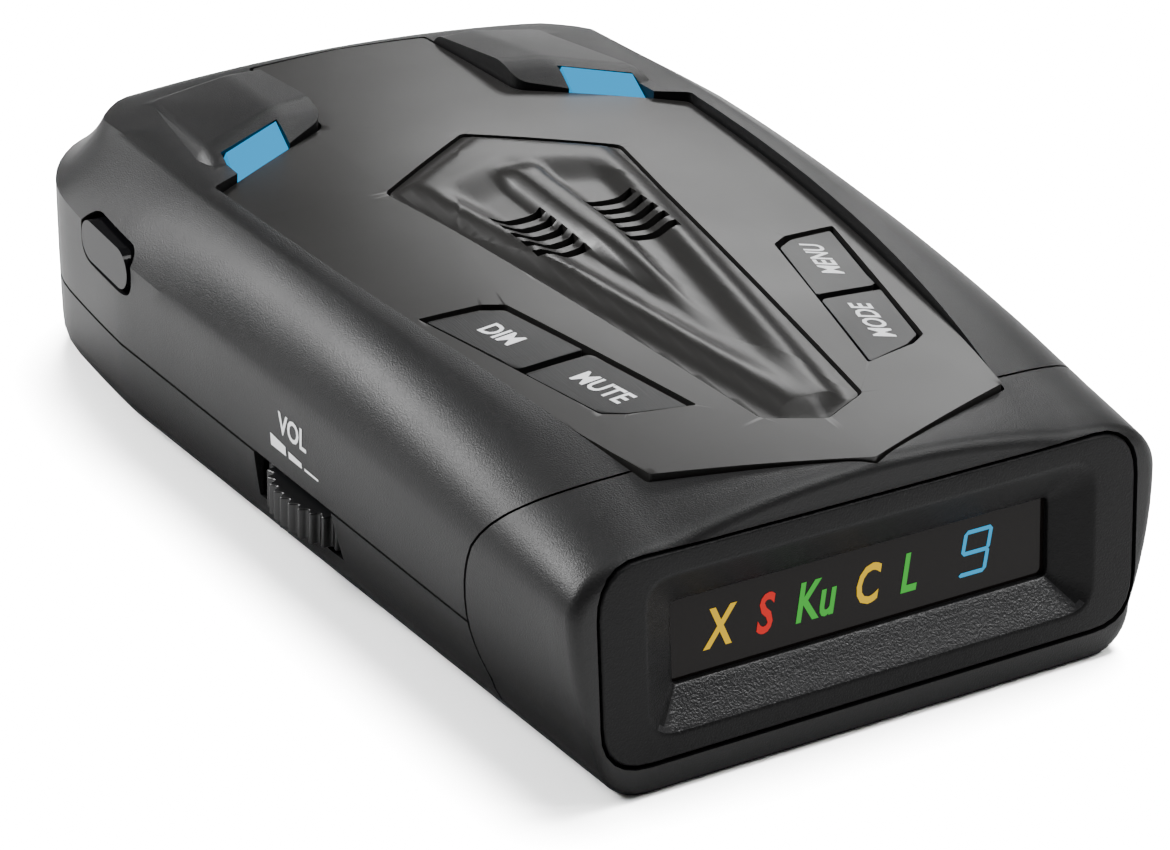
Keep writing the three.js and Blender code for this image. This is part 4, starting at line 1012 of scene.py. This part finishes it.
label = lettering("VOL", 3.1, "wheel_legend", slant=0.1, stretch=0.8)
label.data.transform(Matrix.Diagonal((-1, 1, 1, 1)))
label.data.flip_normals()
label.data.transform(Matrix.Translation((-8.2, 14.8, 0)))
settle(on_left_wall(label), legend_white, "case")
bars = bmesh.new()
for start, end, tall in ((-4.3, -6.9, 1.3), (-7.4, -9.6, 0.75), (-10.1, -12.4, 0.3)):
    bars.faces.new([bars.verts.new(p) for p in ((start, 11.6, 0), (start, 11.6 + tall, 0),
                                                (end, 11.6 + tall * 0.75, 0), (end, 11.6, 0))])
bmesh.ops.subdivide_edges(bars, edges=bars.edges[:], cuts=3, use_grid_fill=True)
settle(on_left_wall(to_object(bars, "wheel_level_mark")), legend_white, "case")

# ---- inner parts ----------------------------------------------------------------------------
# Board, antenna, speaker, jack and screws keep their CAD forms, and the coil its copy of one. Each
# has its own finish.
board_green = finish_of("board_green", (0.012, 0.085, 0.03), 0.35, coat=0.4)
tracks = board_green.node_tree.nodes.new("ShaderNodeTexBrick")
tracks.inputs["Color1"].default_value = (0.012, 0.085, 0.03, 1)
tracks.inputs["Color2"].default_value = (0.016, 0.11, 0.04, 1)
tracks.inputs["Mortar"].default_value = (0.03, 0.16, 0.06, 1)
tracks.inputs["Scale"].default_value = 220.0
tracks.inputs["Mortar Size"].default_value = 0.03
spot = board_green.node_tree.nodes.new("ShaderNodeTexCoord")
board_green.node_tree.links.new(spot.outputs["Object"], tracks.inputs["Vector"])
board_green.node_tree.links.new(tracks.outputs["Color"],
                                board_green.node_tree.nodes["Principled BSDF"].inputs["Base Color"])
die_cast = finish_of("die_cast", (0.55, 0.56, 0.57), 0.38, metallic=1.0, grain=(2600.0, 0.35))
plated_steel = finish_of("plated_steel", (0.62, 0.63, 0.64), 0.22, metallic=1.0, grain=(5200.0, 0.08))
magnet_dark = finish_of("magnet_dark", (0.07, 0.07, 0.075), 0.4, metallic=0.7, grain=(3200.0, 0.3))
paper_black = finish_of("paper_black", (0.012, 0.012, 0.013), 0.85, grain=(2400.0, 0.6))
part_black = finish_of("part_black", (0.018, 0.018, 0.019), 0.38, grain=(4000.0, 0.15))
led_white = finish_of("led_white", (0.8, 0.8, 0.76), 0.3)
wire_red = finish_of("wire_red", (0.5, 0.02, 0.015), 0.4)
wire_black = finish_of("wire_black", (0.015, 0.015, 0.016), 0.4)
actuator_brown = finish_of("actuator_brown", (0.24, 0.05, 0.025), 0.45)
coil.data.materials.clear()
coil.data.materials.append(plated_steel)
inner = {
    board_green: ["main_board", "display_board"],
    die_cast: ["horn_antenna"],
    plated_steel: ["shield_can", "speaker_frame", "case_screw_1", "case_screw_2", "case_screw_3",
                   "case_screw_4", "board_screw_1", "board_screw_2", "board_screw_3", "filter_capacitor_1",
                   "filter_capacitor_2"],
    magnet_dark: ["speaker_magnet"],
    paper_black: ["speaker_cone", "speaker_cloth"],
    part_black: ["board_header", "display_module", "volume_pot", "power_jack", "processor_chip",
                 "audio_chip", "laser_sensor",
                 "switch_dim", "switch_mute", "switch_menu", "switch_mode"],
    led_white: ["alert_led_left", "alert_led_right"],
    wire_red: ["speaker_lead_plus"],
    wire_black: ["speaker_lead_minus"],
    actuator_brown: ["actuator_dim", "actuator_mute", "actuator_menu", "actuator_mode"],
}
for material, names in inner.items():
    for name in names:
        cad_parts[name].material_slots[0].material = material
